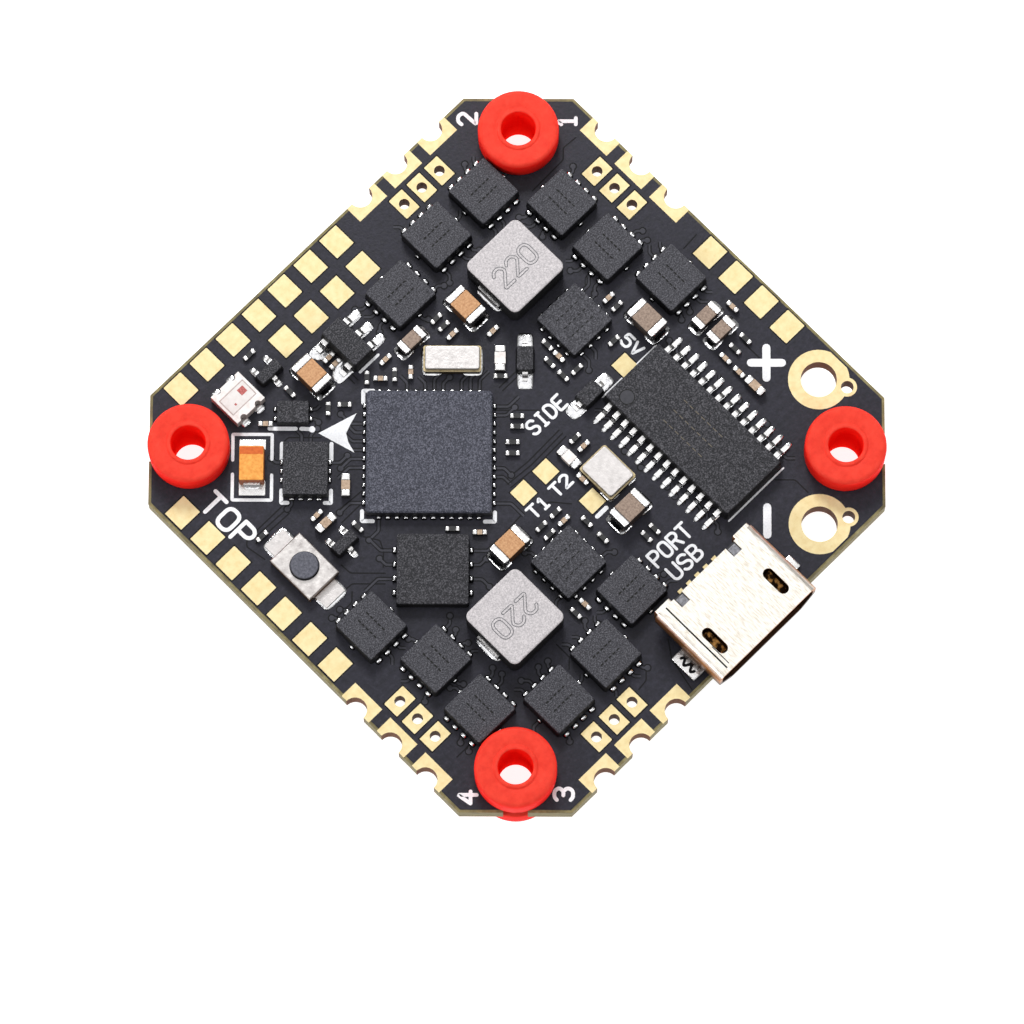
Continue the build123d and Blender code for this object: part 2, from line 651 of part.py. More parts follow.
def usb_insulator():
    """Rear plug of black plastic with the tongue that carries the contacts."""
    rear = usb_prism(USB_SHEET + 0.01, USB_REAR_Y - 0.02, USB_REAR_Y - 1.3)
    tongue = block(3.7, 3.0, SEAT + 1.35, SEAT + 1.95, 0, USB_REAR_Y - 1.3 - 1.5)
    tongue = chamfer(tongue.faces().sort_by(Axis.Y)[0].edges(), 0.12)
    body = rear + tongue
    for side in (-1, 1):
        top = SEAT + USB_HEIGHT
        body += block(0.58, 0.6, top - 0.5, top - 0.05, side * 2.0, USB_REAR_Y - 0.33)
    return Pos(USB_CENTRE_X, 0) * (body - usb_contact_strips())


def usb_contact_strips():
    """Five strips: along the tongue's lower face, through the plug, down to the board."""
    route = [
        (USB_REAR_Y - 4.0, SEAT + 1.3), (USB_REAR_Y - 0.25, SEAT + 1.3),
        (USB_REAR_Y - 0.25, SEAT + 0.06), (USB_REAR_Y + 0.5, SEAT + 0.06),
    ]
    strip = bent_strip(route, 0.3, 0.12)
    return [Pos(x, 0) * strip for x in evenly(USB_CONTACTS, USB_CONTACT_PITCH)]


# ------------------------------------------------------------------ boot button
def switch_parts():
    """Tiny press button: base, snap dome, plunger, sheet cover and two terminals."""
    width, length = SWITCH_COVER
    roof = SEAT + SWITCH_BODY_HEIGHT
    ceiling = roof - SWITCH_SHEET
    inner_width, inner_length = width - 2 * SWITCH_SHEET - 0.02, length - 2 * SWITCH_SHEET - 0.02
    floor = SEAT + 0.1
    cavity_r = PLUNGER_R + 0.2

    base = block(inner_width, inner_length, SEAT, ceiling) - cylinder(cavity_r, floor, roof)

    skirt = block(width, length, SEAT + 0.08, roof)
    cover = chamfer(skirt.faces().sort_by(Axis.Z)[-1].edges(), 0.05)
    cover -= block(inner_width + 0.02, inner_length + 0.02, SEAT, ceiling)
    cover -= cylinder(PLUNGER_R + PLUNGER_CLEARANCE, SEAT, roof + 1)

    stem_top = roof + PLUNGER_PROUD
    flange_top = ceiling - 0.01
    stem = cylinder(PLUNGER_R, flange_top - 0.12, stem_top)
    stem = fillet(stem.faces().sort_by(Axis.Z)[-1].edges(), 0.08)
    plunger = stem + cylinder(cavity_r - PLUNGER_CLEARANCE, flange_top - 0.12, flange_top)

    rise = flange_top - 0.12 - PLUNGER_TRAVEL - 0.02 - floor
    upright = (Align.CENTER, Align.CENTER, Align.MIN)
    dome = Cone(0.9, 0.35, rise, align=upright) - Cone(0.8, 0.25, rise - 0.04, align=upright)
    dome = Pos(0, 0, floor) * dome

    tab_length = 0.9
    tab = eased_block(1.45, tab_length, SEAT, SEAT + 0.14, 0.04, 0, length / 2 + tab_length / 2 + 0.01)
    return base, cover, plunger, dome, [tab, Rot(0, 0, 180) * tab]


# ------------------------------------------------------------------ writing the nodes
os.makedirs("parts", exist_ok=True)

write("board_core", [board_core()])
write("solder_mask_top", [solder_mask(1)])
write("solder_mask_bottom", [solder_mask(-1)])
write("signal_pads", [gold_sheet(face) for face in signal_faces()])
write("motor_pads", motor_pads())
write("motor_hole_pads", motor_hole_pads())
write("battery_pads", [battery_pad(pole) for pole in BATTERY_PADS])
rubber = grommet()
for number, (x, y) in enumerate(CORNERS, start=1):
    write(f"grommet_{number}", [Pos(x, y) * rubber])

# Each chip family: its body and terminals, its spots, and whether it hangs below the board.
chips = {
    "mcu": (mcu(), [MCU_AT], False),
    "gyro": (gyro(), [GYRO_AT], False),
    "flash": (flash(), [FLASH_AT], False),
    "logic_chip": (logic_chip(), [LOGIC_AT], False),
    "osd_chip": (osd_chip(), [OSD_AT], False),
    "ldo": (ldo(), [LDO_AT], False),
    "mosfet": (mosfet(), FET_SPOTS, False),
    "gate_driver": (driver(), DRIVER_SPOTS, False),
    "transistor": (transistor(), TRANSISTOR_SPOTS, False),
    "diode": (diode(), DIODE_SPOTS, False),
    "esc_controller": (controller(), CONTROLLER_SPOTS, True),
    "buck_regulator": (buck(), BUCK_SPOTS, True),
    "inductor": (inductor(), INDUCTOR_SPOTS, False),
    "tantalum": (tantalum(), [TANTALUM_AT], False),
}
# How far the solder under leaded parts spreads past each lead along X and Y.
solder_spread = {
    "osd_chip": (0.5, 0.06), "ldo": (0.9, 0.2), "transistor": (0.12, 0.3), "diode": (0.9, 0.6),
    "buck_regulator": (0.1, 0.4), "inductor": (0.3, 0.2), "tantalum": (0.2, 0.5),
}
solder = []
for name, ((body, terminals), spots, below) in chips.items():
    write(f"{name}_body", copies([body], spots, below))
    write(f"{name}_terminals", copies(terminals, spots, below))
    if name in solder_spread:
        solder += copies(lands_under(terminals, *solder_spread[name]), spots, below)

main_tray, main_lid = crystal(3.2, 1.5, 0.75)
osd_tray, osd_lid = crystal(2.5, 2.0, 0.65)
write("crystal_bases", copies([main_tray], [MAIN_CRYSTAL_AT]) + copies([osd_tray], [OSD_CRYSTAL_AT]))
write("crystal_lids", copies([main_lid], [MAIN_CRYSTAL_AT]) + copies([osd_lid], [OSD_CRYSTAL_AT]))
solder += copies([block(1.2, 1.7, FACE, SEAT, x) for x in (-1.1, 1.1)], [MAIN_CRYSTAL_AT])
corner_land = block(1.0, 0.8, FACE, SEAT, 0.8, 0.65)
crystal_lands = [corner_land, mirror(corner_land, Plane.YZ), mirror(corner_land, Plane.XZ)]
crystal_lands.append(Rot(0, 0, 180) * corner_land)
solder += copies(crystal_lands, [OSD_CRYSTAL_AT])

led_body, led_window, led_terminals = rgb_led()
write("rgb_led_body", copies([led_body], [RGB_LED_AT]))
write("rgb_led_lens", copies([led_window], [RGB_LED_AT]))
write("rgb_led_terminals", copies(led_terminals, [RGB_LED_AT]))
solder += copies(lands_under(led_terminals, 0.2, 0.4), [RGB_LED_AT])

# Passives come as a ceramic block between two metal caps.
size_0805 = large_passive(2.0, 1.25, 1.2, 0.4, 0.08)
size_0603 = large_passive(1.6, 0.8, 0.8, 0.36, 0.06)
size_0402 = small_passive(1.0, 0.5, 0.5, 0.24)
capacitor_0201 = small_passive(0.62, 0.3, 0.3, 0.17)
resistor_0201 = small_passive(0.62, 0.3, 0.24, 0.15)
resistor_0402 = small_passive(1.0, 0.5, 0.32, 0.22)
status_led = small_passive(1.15, 0.6, 0.45, 0.25, recess=0.0)

large = [(size_0805, LARGE_0805, False), (size_0603, LARGE_0603, False), (size_0603, UNDER_0603, True)]
small = [
    (size_0402, SMALL_0402, False), (capacitor_0201, CAPACITOR_0201, False),
    (size_0402, UNDER_CAPACITOR_0402, True),
]
resistors = [(resistor_0201, RESISTOR_0201, False), (resistor_0402, UNDER_RESISTOR_0402, True)]
leds = [(status_led, STATUS_LED_SPOTS, False)]


def family_bodies(family):
    return [piece for (body, _), spots, below in family for piece in copies([body], spots, below)]


def family_ends(family):
    return [piece for (_, ends), spots, below in family for piece in copies(ends, spots, below)]


write("large_capacitor_bodies", family_bodies(large))
write("large_capacitor_ends", family_ends(large))
write("small_capacitor_bodies", family_bodies(small))
write("resistor_bodies", family_bodies(resistors))
write("status_led_bodies", family_bodies(leds))
write("small_part_ends", family_ends(small + resistors + leds))
for (body, ends), spots, below in large:
    solder += copies(lands_under(ends, 0.5, 0.06), spots, below)

usb_strips = [Pos(USB_CENTRE_X, 0) * strip for strip in usb_contact_strips()]
write("usb_shell", [usb_shell()])
write("usb_insulator", [usb_insulator()])
write("usb_contacts", usb_strips)

switch_base, switch_cover, plunger, dome, tabs = switch_parts()
switch_spot = [(*SWITCH_AT, 0)]
write("switch_base", copies([switch_base], switch_spot))
write("switch_cover", copies([switch_cover], switch_spot))
write("switch_plunger", copies([plunger], switch_spot))
write("switch_dome", copies([dome], switch_spot))
write("switch_terminals", copies(tabs, switch_spot))
solder += copies(lands_under(tabs, 0.2, 0.3), switch_spot)

write("solder_lands", solder)
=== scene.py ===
import math
import random

import bmesh
import bpy
from mathutils import Matrix, Vector


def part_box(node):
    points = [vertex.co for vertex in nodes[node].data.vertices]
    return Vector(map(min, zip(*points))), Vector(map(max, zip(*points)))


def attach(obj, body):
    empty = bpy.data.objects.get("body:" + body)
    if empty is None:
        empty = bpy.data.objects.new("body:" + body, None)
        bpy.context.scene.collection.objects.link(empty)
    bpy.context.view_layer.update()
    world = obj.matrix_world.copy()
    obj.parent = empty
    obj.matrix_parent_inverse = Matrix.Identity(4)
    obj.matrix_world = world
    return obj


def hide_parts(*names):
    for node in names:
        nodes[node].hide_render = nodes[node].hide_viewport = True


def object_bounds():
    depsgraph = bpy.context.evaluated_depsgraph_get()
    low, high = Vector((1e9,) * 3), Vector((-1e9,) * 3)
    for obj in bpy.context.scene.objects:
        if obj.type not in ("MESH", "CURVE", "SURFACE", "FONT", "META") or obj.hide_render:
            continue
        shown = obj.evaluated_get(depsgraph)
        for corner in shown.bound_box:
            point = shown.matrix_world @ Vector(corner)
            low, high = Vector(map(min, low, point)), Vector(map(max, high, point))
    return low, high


# Looks of the flight controller board. Lengths below are millimetres unless a name says otherwise.
# u runs towards +X -Y and v towards +X +Y, because many parts sit at 45 degrees.

MM = 0.001

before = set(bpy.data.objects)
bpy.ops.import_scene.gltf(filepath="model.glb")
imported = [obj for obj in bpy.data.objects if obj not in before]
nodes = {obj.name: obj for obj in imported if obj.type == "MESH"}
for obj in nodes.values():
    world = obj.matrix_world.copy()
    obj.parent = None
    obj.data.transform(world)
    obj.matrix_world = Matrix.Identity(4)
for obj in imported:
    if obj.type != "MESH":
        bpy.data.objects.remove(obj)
cad_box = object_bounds()

DIAGONAL = 45
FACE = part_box("solder_mask_top")[1].z / MM
INK_HEIGHT = 0.012
TRACE_HEIGHT = 0.006
MARK_HEIGHT = 0.006
# How far a flat mark reaches into what it lies on.
SUNK = 0.001
# Marks that cross get tops of unlike height, so that no two faces lie in one plane.
CROSSING_STEP = 0.001


def rotation(degrees):
    """Turn in the board's plane."""
    return Matrix.Rotation(math.radians(degrees), 2)


def from_uv(u, v):
    """Board position of a point given on the diagonal axes."""
    return (u + v) / math.sqrt(2), (v - u) / math.sqrt(2)


def ring_round(centre, radius, sides):
    """Corners of an even polygon, as a circle."""
    return [centre + rotation(360 * k / sides) @ Vector((radius, 0)) for k in range(sides)]


FOUR_CORNERS = ((-1, -1), (1, -1), (1, 1), (-1, 1))


# ---- meshes
class Shape:
    """Vertices and faces gathered for one piece, in millimetres."""

    def __init__(self):
        self.points = []
        self.faces = []
        self.strokes = 0

    def add(self, points, faces):
        start = len(self.points)
        self.points += points
        self.faces += [[start + i for i in face] for face in faces]

    def piece(self, name, material, smooth=False):
        """Turns the shape into a visible piece that rides on the board."""
        mesh = bpy.data.meshes.new(name)
        mesh.from_pydata([Vector(p) * MM for p in self.points], [], self.faces)
        mesh.validate()
        made = bmesh.new()
        made.from_mesh(mesh)
        bmesh.ops.recalc_face_normals(made, faces=made.faces)
        made.to_mesh(mesh)
        made.free()
        for polygon in mesh.polygons:
            polygon.use_smooth = smooth
        mesh.materials.append(material)
        made_object = bpy.data.objects.new(name, mesh)
        bpy.context.scene.collection.objects.link(made_object)
        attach(made_object, "board")
        return made_object


def prism(shape, outline, low, high):
    """Upright shape with the given outline, from low to high."""
    count = len(outline)
    points = [(x, y, low) for x, y in outline] + [(x, y, high) for x, y in outline]
    faces = [list(range(count))[::-1], list(range(count, 2 * count))]
    faces += [[i, (i + 1) % count, count + (i + 1) % count, count + i] for i in range(count)]
    shape.add(points, faces)


def rounded_corners(points, cut, closed=False, steps=3):
    """The same line with each corner replaced by a short curve."""
    longest = 0.45
    route = []
    count = len(points)
    for i, point in enumerate(points):
        if not closed and i in (0, count - 1):
            route.append(Vector(point))
            continue
        here = Vector(point)
        before, after = Vector(points[i - 1]) - here, Vector(points[(i + 1) % count]) - here
        start = here + before.normalized() * min(cut, before.length * longest)
        end = here + after.normalized() * min(cut, after.length * longest)
        for step in range(steps + 1):
            t = step / steps
            route.append(start * (1 - t) ** 2 + here * (2 * t * (1 - t)) + end * t ** 2)
    return route


def side_steps(line, closed=False):
    """The step to the left at each point of a line that moves all its stretches sideways by one unit."""
    sharpest = 0.6
    count = len(line)
    steps = []
    for i, here in enumerate(line):
        before = here - line[i - 1] if closed or i else line[1] - here
        after = line[(i + 1) % count] - here if closed or i < count - 1 else before
        heading = (before.normalized() + after.normalized()).normalized()
        steps.append(Vector((-heading.y, heading.x)) / max(sharpest, heading.dot(after.normalized())))
    return steps


def closed_ribbon(left, right, low, high):
    """Points and faces of a ribbon whose two edges both run round."""
    count = len(left)
    points = [(p.x, p.y, z) for z in (low, high) for edge in (left, right) for p in edge]
    faces = []
    for i in range(count):
        j = (i + 1) % count
        faces.append([i, j, count + j, count + i])
        faces.append([2 * count + i, 3 * count + i, 3 * count + j, 2 * count + j])
        faces.append([i, 2 * count + i, 2 * count + j, j])
        faces.append([count + i, count + j, 3 * count + j, 3 * count + i])
    return points, faces


END_SIDES = 5


def open_ribbon(line, left, right, low, high):
    """Points and faces of a ribbon along a line, closed by a half circle at both ends."""

    def half_circle(centre, first):
        return [centre + rotation(-180 * k / END_SIDES) @ (first - centre) for k in range(1, END_SIDES)]

    outline = left + half_circle(line[-1], left[-1]) + right[::-1] + half_circle(line[0], right[0])
    count = len(outline)
    points = [(p.x, p.y, z) for z in (low, high) for p in outline]
    faces = [[i, (i + 1) % count, count + (i + 1) % count, count + i] for i in range(count)]
    n = len(line)
    right_at = [n + END_SIDES - 1 + (n - 1 - i) for i in range(n)]
    for level in (0, count):
        for i in range(n - 1):
            faces.append([level + k for k in (i, i + 1, right_at[i + 1], right_at[i])])
        faces.append([level + k for k in range(n - 1, n + END_SIDES)])
        faces.append([level + k for k in [*range(right_at[0], count), 0]])
    return points, faces


STROKE_LEVELS = 5


def stroke(shape, points, width, low, high, closed=False):
    """Ribbon of even width along a line. Strokes that follow one another in a shape differ in height."""
    shape.strokes += 1
    high += CROSSING_STEP * (shape.strokes % STROKE_LEVELS)
    line = [Vector(p) for p in points]
    steps = side_steps(line, closed)
    left = [here + step * (width / 2) for here, step in zip(line, steps)]
    right = [here - step * (width / 2) for here, step in zip(line, steps)]
    if closed:
        shape.add(*closed_ribbon(left, right, low, high))
    else:
        shape.add(*open_ribbon(line, left, right, low, high))


def rounded_box(shape, centre, size, angle=0.0, ease=0.05):
    """Box with rounded edges and corners, which always keeps a sliver of each flat face."""
    most, bend = 0.98, 0.4
    half = [length / 2 for length in size]
    ease = min(ease, *[h * most for h in half])
    levels = [[-h, -(h - ease * bend), -(h - ease), h - ease, h - ease * bend, h] for h in half]
    turn = Matrix.Rotation(math.radians(angle), 3, "Z")
    last = len(levels[0]) - 1
    index, points, faces = {}, [], []
    for i in range(last + 1):
        for j in range(last + 1):
            for k in range(last + 1):
                if not {i, j, k} & {0, last}:
                    continue
                at = Vector((levels[0][i], levels[1][j], levels[2][k]))
                core = Vector([max(-(h - ease), min(h - ease, c)) for c, h in zip(at, half)])
                out = at - core
                at = core + out.normalized() * ease if out.length > 0 else at
                index[i, j, k] = len(points)
                points.append(tuple(turn @ at + Vector(centre)))
    for a in range(last):
        for b in range(last):
            square = [(a, b), (a + 1, b), (a + 1, b + 1), (a, b + 1)]
            for end in (0, last):
                faces.append([index[end, p, q] for p, q in square])
                faces.append([index[p, end, q] for p, q in square])
                faces.append([index[p, q, end] for p, q in square])
    shape.add(points, faces)


OVAL_SIDES = 20


def oval_rings(profile, middle_at, size, angle, base, rise, squareness):
    """Skin of stacked, squared-off ovals. The profile gives each one's spread and lift, as shares."""
    turn = math.radians(angle)
    points, faces = [], []
    for spread, lift in profile:
        middle = middle_at(spread)
        for i in range(OVAL_SIDES):
            t = 2 * math.pi * i / OVAL_SIDES
            c, s = math.cos(t), math.sin(t)
            x = math.copysign(abs(c) ** (2 / squareness), c) * size[0] / 2 * spread
            y = math.copysign(abs(s) ** (2 / squareness), s) * size[1] / 2 * spread
            across = x * math.cos(turn) - y * math.sin(turn)
            along = x * math.sin(turn) + y * math.cos(turn)
            points.append((middle[0] + across, middle[1] + along, base + lift * rise))
    for ring in range(len(profile) - 1):
        here, there = ring * OVAL_SIDES, (ring + 1) * OVAL_SIDES
        for i in range(OVAL_SIDES):
            j = (i + 1) % OVAL_SIDES
            faces.append([here + i, here + j, there + j, there + i])
    faces.append(list(range(OVAL_SIDES))[::-1])
    return points, faces


def blob(shape, centre, size, angle, base, rise, squareness=3.2):
    """Drop of solder: a rounded patch that swells from the board and closes in a low crown."""
    profile = ((1.0, 0.0), (0.97, 0.25), (0.86, 0.6), (0.62, 0.88), (0.3, 0.98))
    points, faces = oval_rings(profile, lambda spread: centre, size, angle, base, rise, squareness)
    crown = len(points)
    points.append((centre[0], centre[1], base + rise))
    start = crown - OVAL_SIDES
    faces += [[start + i, start + (i + 1) % OVAL_SIDES, crown] for i in range(OVAL_SIDES)]
    shape.add(points, faces)


def skirt(shape, rim_at, peak_at, size, angle, base, rise):
    """Solder that climbs in a hollow curve from a flat rim on the board to the metal it wets."""
    profile = ((1.0, 0.0), (0.98, 0.05), (0.86, 0.09), (0.72, 0.2), (0.57, 0.38), (0.42, 0.65), (0.3, 0.9))
    squareness = 5.0

    def middle_at(spread):
        return Vector(peak_at).lerp(Vector(rim_at), spread ** 2)

    points, faces = oval_rings(profile, middle_at, size, angle, base, rise, squareness)
    faces.append(list(range(len(points) - OVAL_SIDES, len(points))))
    shape.add(points, faces)


def lathe(shape, centre, profile, segments=96):
    """Ring swept round a vertical axis from a closed profile of (radius, height)."""
    count = len(profile)
    points = []
    for i in range(segments):
        t = 2 * math.pi * i / segments
        points += [(centre[0] + r * math.cos(t), centre[1] + r * math.sin(t), z) for r, z in profile]
    faces = []
    for i in range(segments):
        here, there = i * count, (i + 1) % segments * count
        for k in range(count):
            after = (k + 1) % count
            faces.append([here + k, here + after, there + after, there + k])
    shape.add(points, faces)


# ---- what the CAD frame holds
# A solid counts as turned if its box at 45 degrees has less than this share of the upright box's area.
CLEARLY_LESS = 0.98
MERGE_DISTANCE = 0.001 * MM


class Solid:
    """One solid of a CAD node: its middle, its size along its own sides, its turn and its heights."""

    def __init__(self, points):
        best = None
        for angle in (0, DIAGONAL):
            turn = rotation(-angle)
            turned = [turn @ p.xy for p in points]
            low = Vector((min(p.x for p in turned), min(p.y for p in turned)))
            high = Vector((max(p.x for p in turned), max(p.y for p in turned)))
            area = (high.x - low.x) * (high.y - low.y)
            if best is None or area < best[0] * CLEARLY_LESS:
                best = (area, angle, low, high)
        _, self.angle, low, high = best
        self.size = (high - low) / MM
        middle = rotation(self.angle) @ ((low + high) / 2) / MM
        self.x, self.y = middle
        self.low = min(p.z for p in points) / MM
        self.high = max(p.z for p in points) / MM
        self.below = self.high < 0

    def point(self, across, along):
        """Board position of a point given along the solid's own sides."""
        at = rotation(self.angle) @ Vector((across, along))
        return self.x + at.x, self.y + at.y


def solids(node):
    """Every separate solid of a CAD node."""
    merged = bmesh.new()
    merged.from_mesh(nodes[node].data)
    bmesh.ops.remove_doubles(merged, verts=merged.verts, dist=MERGE_DISTANCE)
    found, seen = [], set()
    for vertex in merged.verts:
        if vertex in seen:
            continue
        island, queue = [], [vertex]
        seen.add(vertex)
        while queue:
            here = queue.pop()
            island.append(here.co.copy())
            for edge in here.link_edges:
                other = edge.other_vert(here)
                if other not in seen:
                    seen.add(other)
                    queue.append(other)
        found.append(Solid(island))
    merged.free()
    return sorted(found, key=lambda s: (round(s.x, 3), round(s.y, 3), round(s.low, 3)))


# ---- materials
def grain(tree, feature, detail=3.0, stretch=(1.0, 1.0, 1.0)):
    """Noise whose features are about that many millimetres across."""
    coordinates = tree.nodes.new("ShaderNodeTexCoord")
    mapping = tree.nodes.new("ShaderNodeMapping")
    texture = tree.nodes.new("ShaderNodeTexNoise")
    mapping.inputs["Scale"].default_value = [s / (feature * MM) for s in stretch]
    texture.inputs["Scale"].default_value = 1.0
    texture.inputs["Detail"].default_value = detail
    texture.inputs["Roughness"].default_value = 0.6
    tree.links.new(coordinates.outputs["Object"], mapping.inputs["Vector"])
    tree.links.new(mapping.outputs["Vector"], texture.inputs["Vector"])
    return texture.outputs["Fac"]


def ramp(tree, source, stops):
    """Colours that follow a value. Each stop is (place, colour)."""
    node = tree.nodes.new("ShaderNodeValToRGB")
    elements = node.color_ramp.elements
    while len(elements) < len(stops):
        elements.new(0.5)
    for element, (place, colour) in zip(elements, stops):
        element.position = place
        element.color = (*colour, 1.0)
    tree.links.new(source, node.inputs["Fac"])
    return node.outputs["Color"]


def fade(tree, value, low, high, lighting_tint, colour):
    """The tint where a value is below low, the colour where it is above high, and a mix in between."""
    share = tree.nodes.new("ShaderNodeMapRange")
    share.inputs["From Min"].default_value = low
    share.inputs["From Max"].default_value = high
    mix = tree.nodes.new("ShaderNodeMix")
    mix.data_type = "RGBA"
    mix.inputs["A"].default_value = (*lighting_tint, 1.0)
    tree.links.new(value, share.inputs["Value"])
    tree.links.new(share.outputs["Result"], mix.inputs["Factor"])
    tree.links.new(colour, mix.inputs["B"])
    return mix.outputs["Result"]


def steep_lighting_tint(tree, colour, lighting_tint, steep, flat):
    """Paints steep faces in the given colour: painted shade, and on the red silicone painted light. Steep and
    flat are limits for the size of the normal's height.
    """
    coordinates = tree.nodes.new("ShaderNodeTexCoord")
    split = tree.nodes.new("ShaderNodeSeparateXYZ")
    size = tree.nodes.new("ShaderNodeMath")
    size.operation = "ABSOLUTE"
    tree.links.new(coordinates.outputs["Normal"], split.inputs["Vector"])
    tree.links.new(split.outputs["Z"], size.inputs[0])
    return fade(tree, size.outputs["Value"], steep, flat, lighting_tint, colour)


def low_painted_shade(tree, colour, lighting_tint, low, high):
    """Painted shade towards the bottom of a part, fading out between two heights above the board's middle."""
    coordinates = tree.nodes.new("ShaderNodeTexCoord")
    split = tree.nodes.new("ShaderNodeSeparateXYZ")
    tree.links.new(coordinates.outputs["Object"], split.inputs["Vector"])
    return fade(tree, split.outputs["Z"], low * MM, high * MM, lighting_tint, colour)


NOISE_SPAN = (0.3, 0.7)
RELIEF_DEPTH = 0.3


def made_of(name, colours, rough, places=NOISE_SPAN, feature=0.5, detail=3.0, metallic=0.0, bump=0.0,
            bump_feature=0.1, stretch=(1.0, 1.0, 1.0), lighting_tint=None, lighting_tint_range=(0.45, 0.8), low=None,
            sockets=()):
    """Procedural material: colour and roughness follow noise, and a finer noise roughens the surface.

    Places are the noise values at which the colours lie. The colour given for steep faces is painted shade,
    and on the red silicone painted light; low adds painted shade at the foot of a part. Colours are linear.
    """
    material = bpy.data.materials.new(name)
    material.use_nodes = True
    tree = material.node_tree
    shader = tree.nodes["Principled BSDF"]
    shader.inputs["Metallic"].default_value = metallic
    for socket, value in sockets:
        shader.inputs[socket].default_value = value
    source = grain(tree, feature, detail, stretch)
    colour = ramp(tree, source, list(zip(places, colours)))
    if lighting_tint:
        colour = steep_lighting_tint(tree, colour, lighting_tint, *lighting_tint_range)
    if low:
        colour = low_painted_shade(tree, colour, *low)
    tree.links.new(colour, shader.inputs["Base Color"])
    spread = tree.nodes.new("ShaderNodeMapRange")
    spread.inputs["From Min"].default_value = NOISE_SPAN[0]
    spread.inputs["From Max"].default_value = NOISE_SPAN[1]
    spread.inputs["To Min"].default_value = rough[0]
    spread.inputs["To Max"].default_value = rough[1]
    tree.links.new(source, spread.inputs["Value"])
    tree.links.new(spread.outputs["Result"], shader.inputs["Roughness"])
    if bump:
        relief = tree.nodes.new("ShaderNodeBump")
        relief.inputs["Strength"].default_value = bump
        relief.inputs["Distance"].default_value = bump_feature * MM * RELIEF_DEPTH
        tree.links.new(grain(tree, bump_feature, 2.0, stretch), relief.inputs["Height"])
        tree.links.new(relief.outputs["Normal"], shader.inputs["Normal"])
    return material


# The darker colours that the materials below give their steep faces are painted shade; the red silicone's
# brighter sides are painted light.
DULL = [("Specular IOR Level", 0.25)]
mask = made_of(
    "black_mask", [(0.010, 0.010, 0.016), (0.019, 0.0185, 0.029), (0.036, 0.035, 0.050)], (0.40, 0.58),
    places=(0.3, 0.55, 0.8), feature=0.30, detail=7.0, bump=0.3, bump_feature=0.16, sockets=DULL)
mask_on_copper = made_of(
    "mask_on_copper", [(0.026, 0.026, 0.035), (0.046, 0.046, 0.060)], (0.40, 0.55), feature=0.5, bump=0.1,
    bump_feature=0.2, sockets=DULL)
# Near black strips of painted shade, laid where the mask dips and in gaps and creases of metal.
painted_shade_line = made_of(
    "painted_shade_line", [(0.002, 0.002, 0.003), (0.005, 0.005, 0.007)], (0.6, 0.75), feature=0.6, sockets=DULL)
laminate = made_of(
    "laminate_edge", [(0.10, 0.08, 0.03), (0.21, 0.175, 0.07), (0.33, 0.29, 0.14)], (0.55, 0.75),
    places=(0.3, 0.55, 0.75), feature=0.3, detail=5.0, stretch=(0.5, 0.5, 3.5), bump=0.4, bump_feature=0.12)
# The gold's dark brown on steep faces, such as the walls of holes and castellations, is painted shade.
gold = made_of(
    "immersion_gold", [(0.77, 0.61, 0.31), (0.83, 0.69, 0.38), (0.88, 0.76, 0.45)], (0.42, 0.56),
    places=(0.28, 0.5, 0.72), feature=0.35, detail=4.0, metallic=0.06, bump=0.25, bump_feature=0.12,
    lighting_tint=(0.15, 0.052, 0.020), sockets=[("Specular IOR Level", 0.03)])
# Solder and tinned metal go near black on their slopes: painted shade.
solder = made_of(
    "bright_solder", [(0.66, 0.66, 0.68), (0.93, 0.93, 0.94)], (0.08, 0.22), feature=0.2, metallic=1.0,
    bump=0.45, bump_feature=0.16, lighting_tint=(0.05, 0.05, 0.055), lighting_tint_range=(0.62, 0.93))
tin = made_of(
    "tinned_metal", [(0.70, 0.69, 0.69), (0.95, 0.94, 0.93)], (0.18, 0.36), feature=0.22, metallic=0.85,
    bump=0.35, bump_feature=0.15, lighting_tint=(0.17, 0.16, 0.16))
lead_tin = made_of(
    "lead_tin", [(0.72, 0.71, 0.71), (0.95, 0.94, 0.93)], (0.18, 0.36), feature=0.22, metallic=0.85, bump=0.3,
    bump_feature=0.15, lighting_tint=(0.025, 0.025, 0.027), lighting_tint_range=(0.7, 0.96))


def chip_compound(name, colours, lighting_tint, bump=0.8):
    """Moulding compound: speckled on top, with painted shade making it near black on the sides."""
    return made_of(name, colours, (0.50, 0.70), places=(0.34, 0.5, 0.66), feature=0.075, bump=bump,
                   bump_feature=0.075, lighting_tint=lighting_tint, lighting_tint_range=(0.3, 0.7), sockets=DULL)


compound = chip_compound(
    "moulding_compound", [(0.005, 0.005, 0.007), (0.024, 0.024, 0.029), (0.105, 0.103, 0.115)],
    lighting_tint=(0.008, 0.008, 0.009), bump=0.9)
pale_compound = chip_compound(
    "pale_moulding_compound", [(0.016, 0.017, 0.026), (0.053, 0.056, 0.076), (0.150, 0.152, 0.190)],
    lighting_tint=(0.010, 0.010, 0.013))
power_compound = chip_compound(
    "power_moulding_compound", [(0.014, 0.014, 0.018), (0.045, 0.045, 0.054), (0.120, 0.119, 0.136)],
    lighting_tint=(0.008, 0.008, 0.010))
# The silicone's brighter, redder steep faces are painted light: red light thrown back within the grommet.
silicone = made_of(
    "red_silicone", [(0.73, 0.040, 0.023), (0.85, 0.062, 0.037)], (0.55, 0.70), feature=0.5, bump=0.35,
    bump_feature=0.14, lighting_tint=(0.98, 0.014, 0.008), lighting_tint_range=(0.2, 0.9),
    sockets=[("Specular IOR Level", 0.10), ("Subsurface Weight", 0.12),
             ("Subsurface Radius", (1.0, 0.1, 0.06)),
             ("Subsurface Scale", 0.4 * MM)])
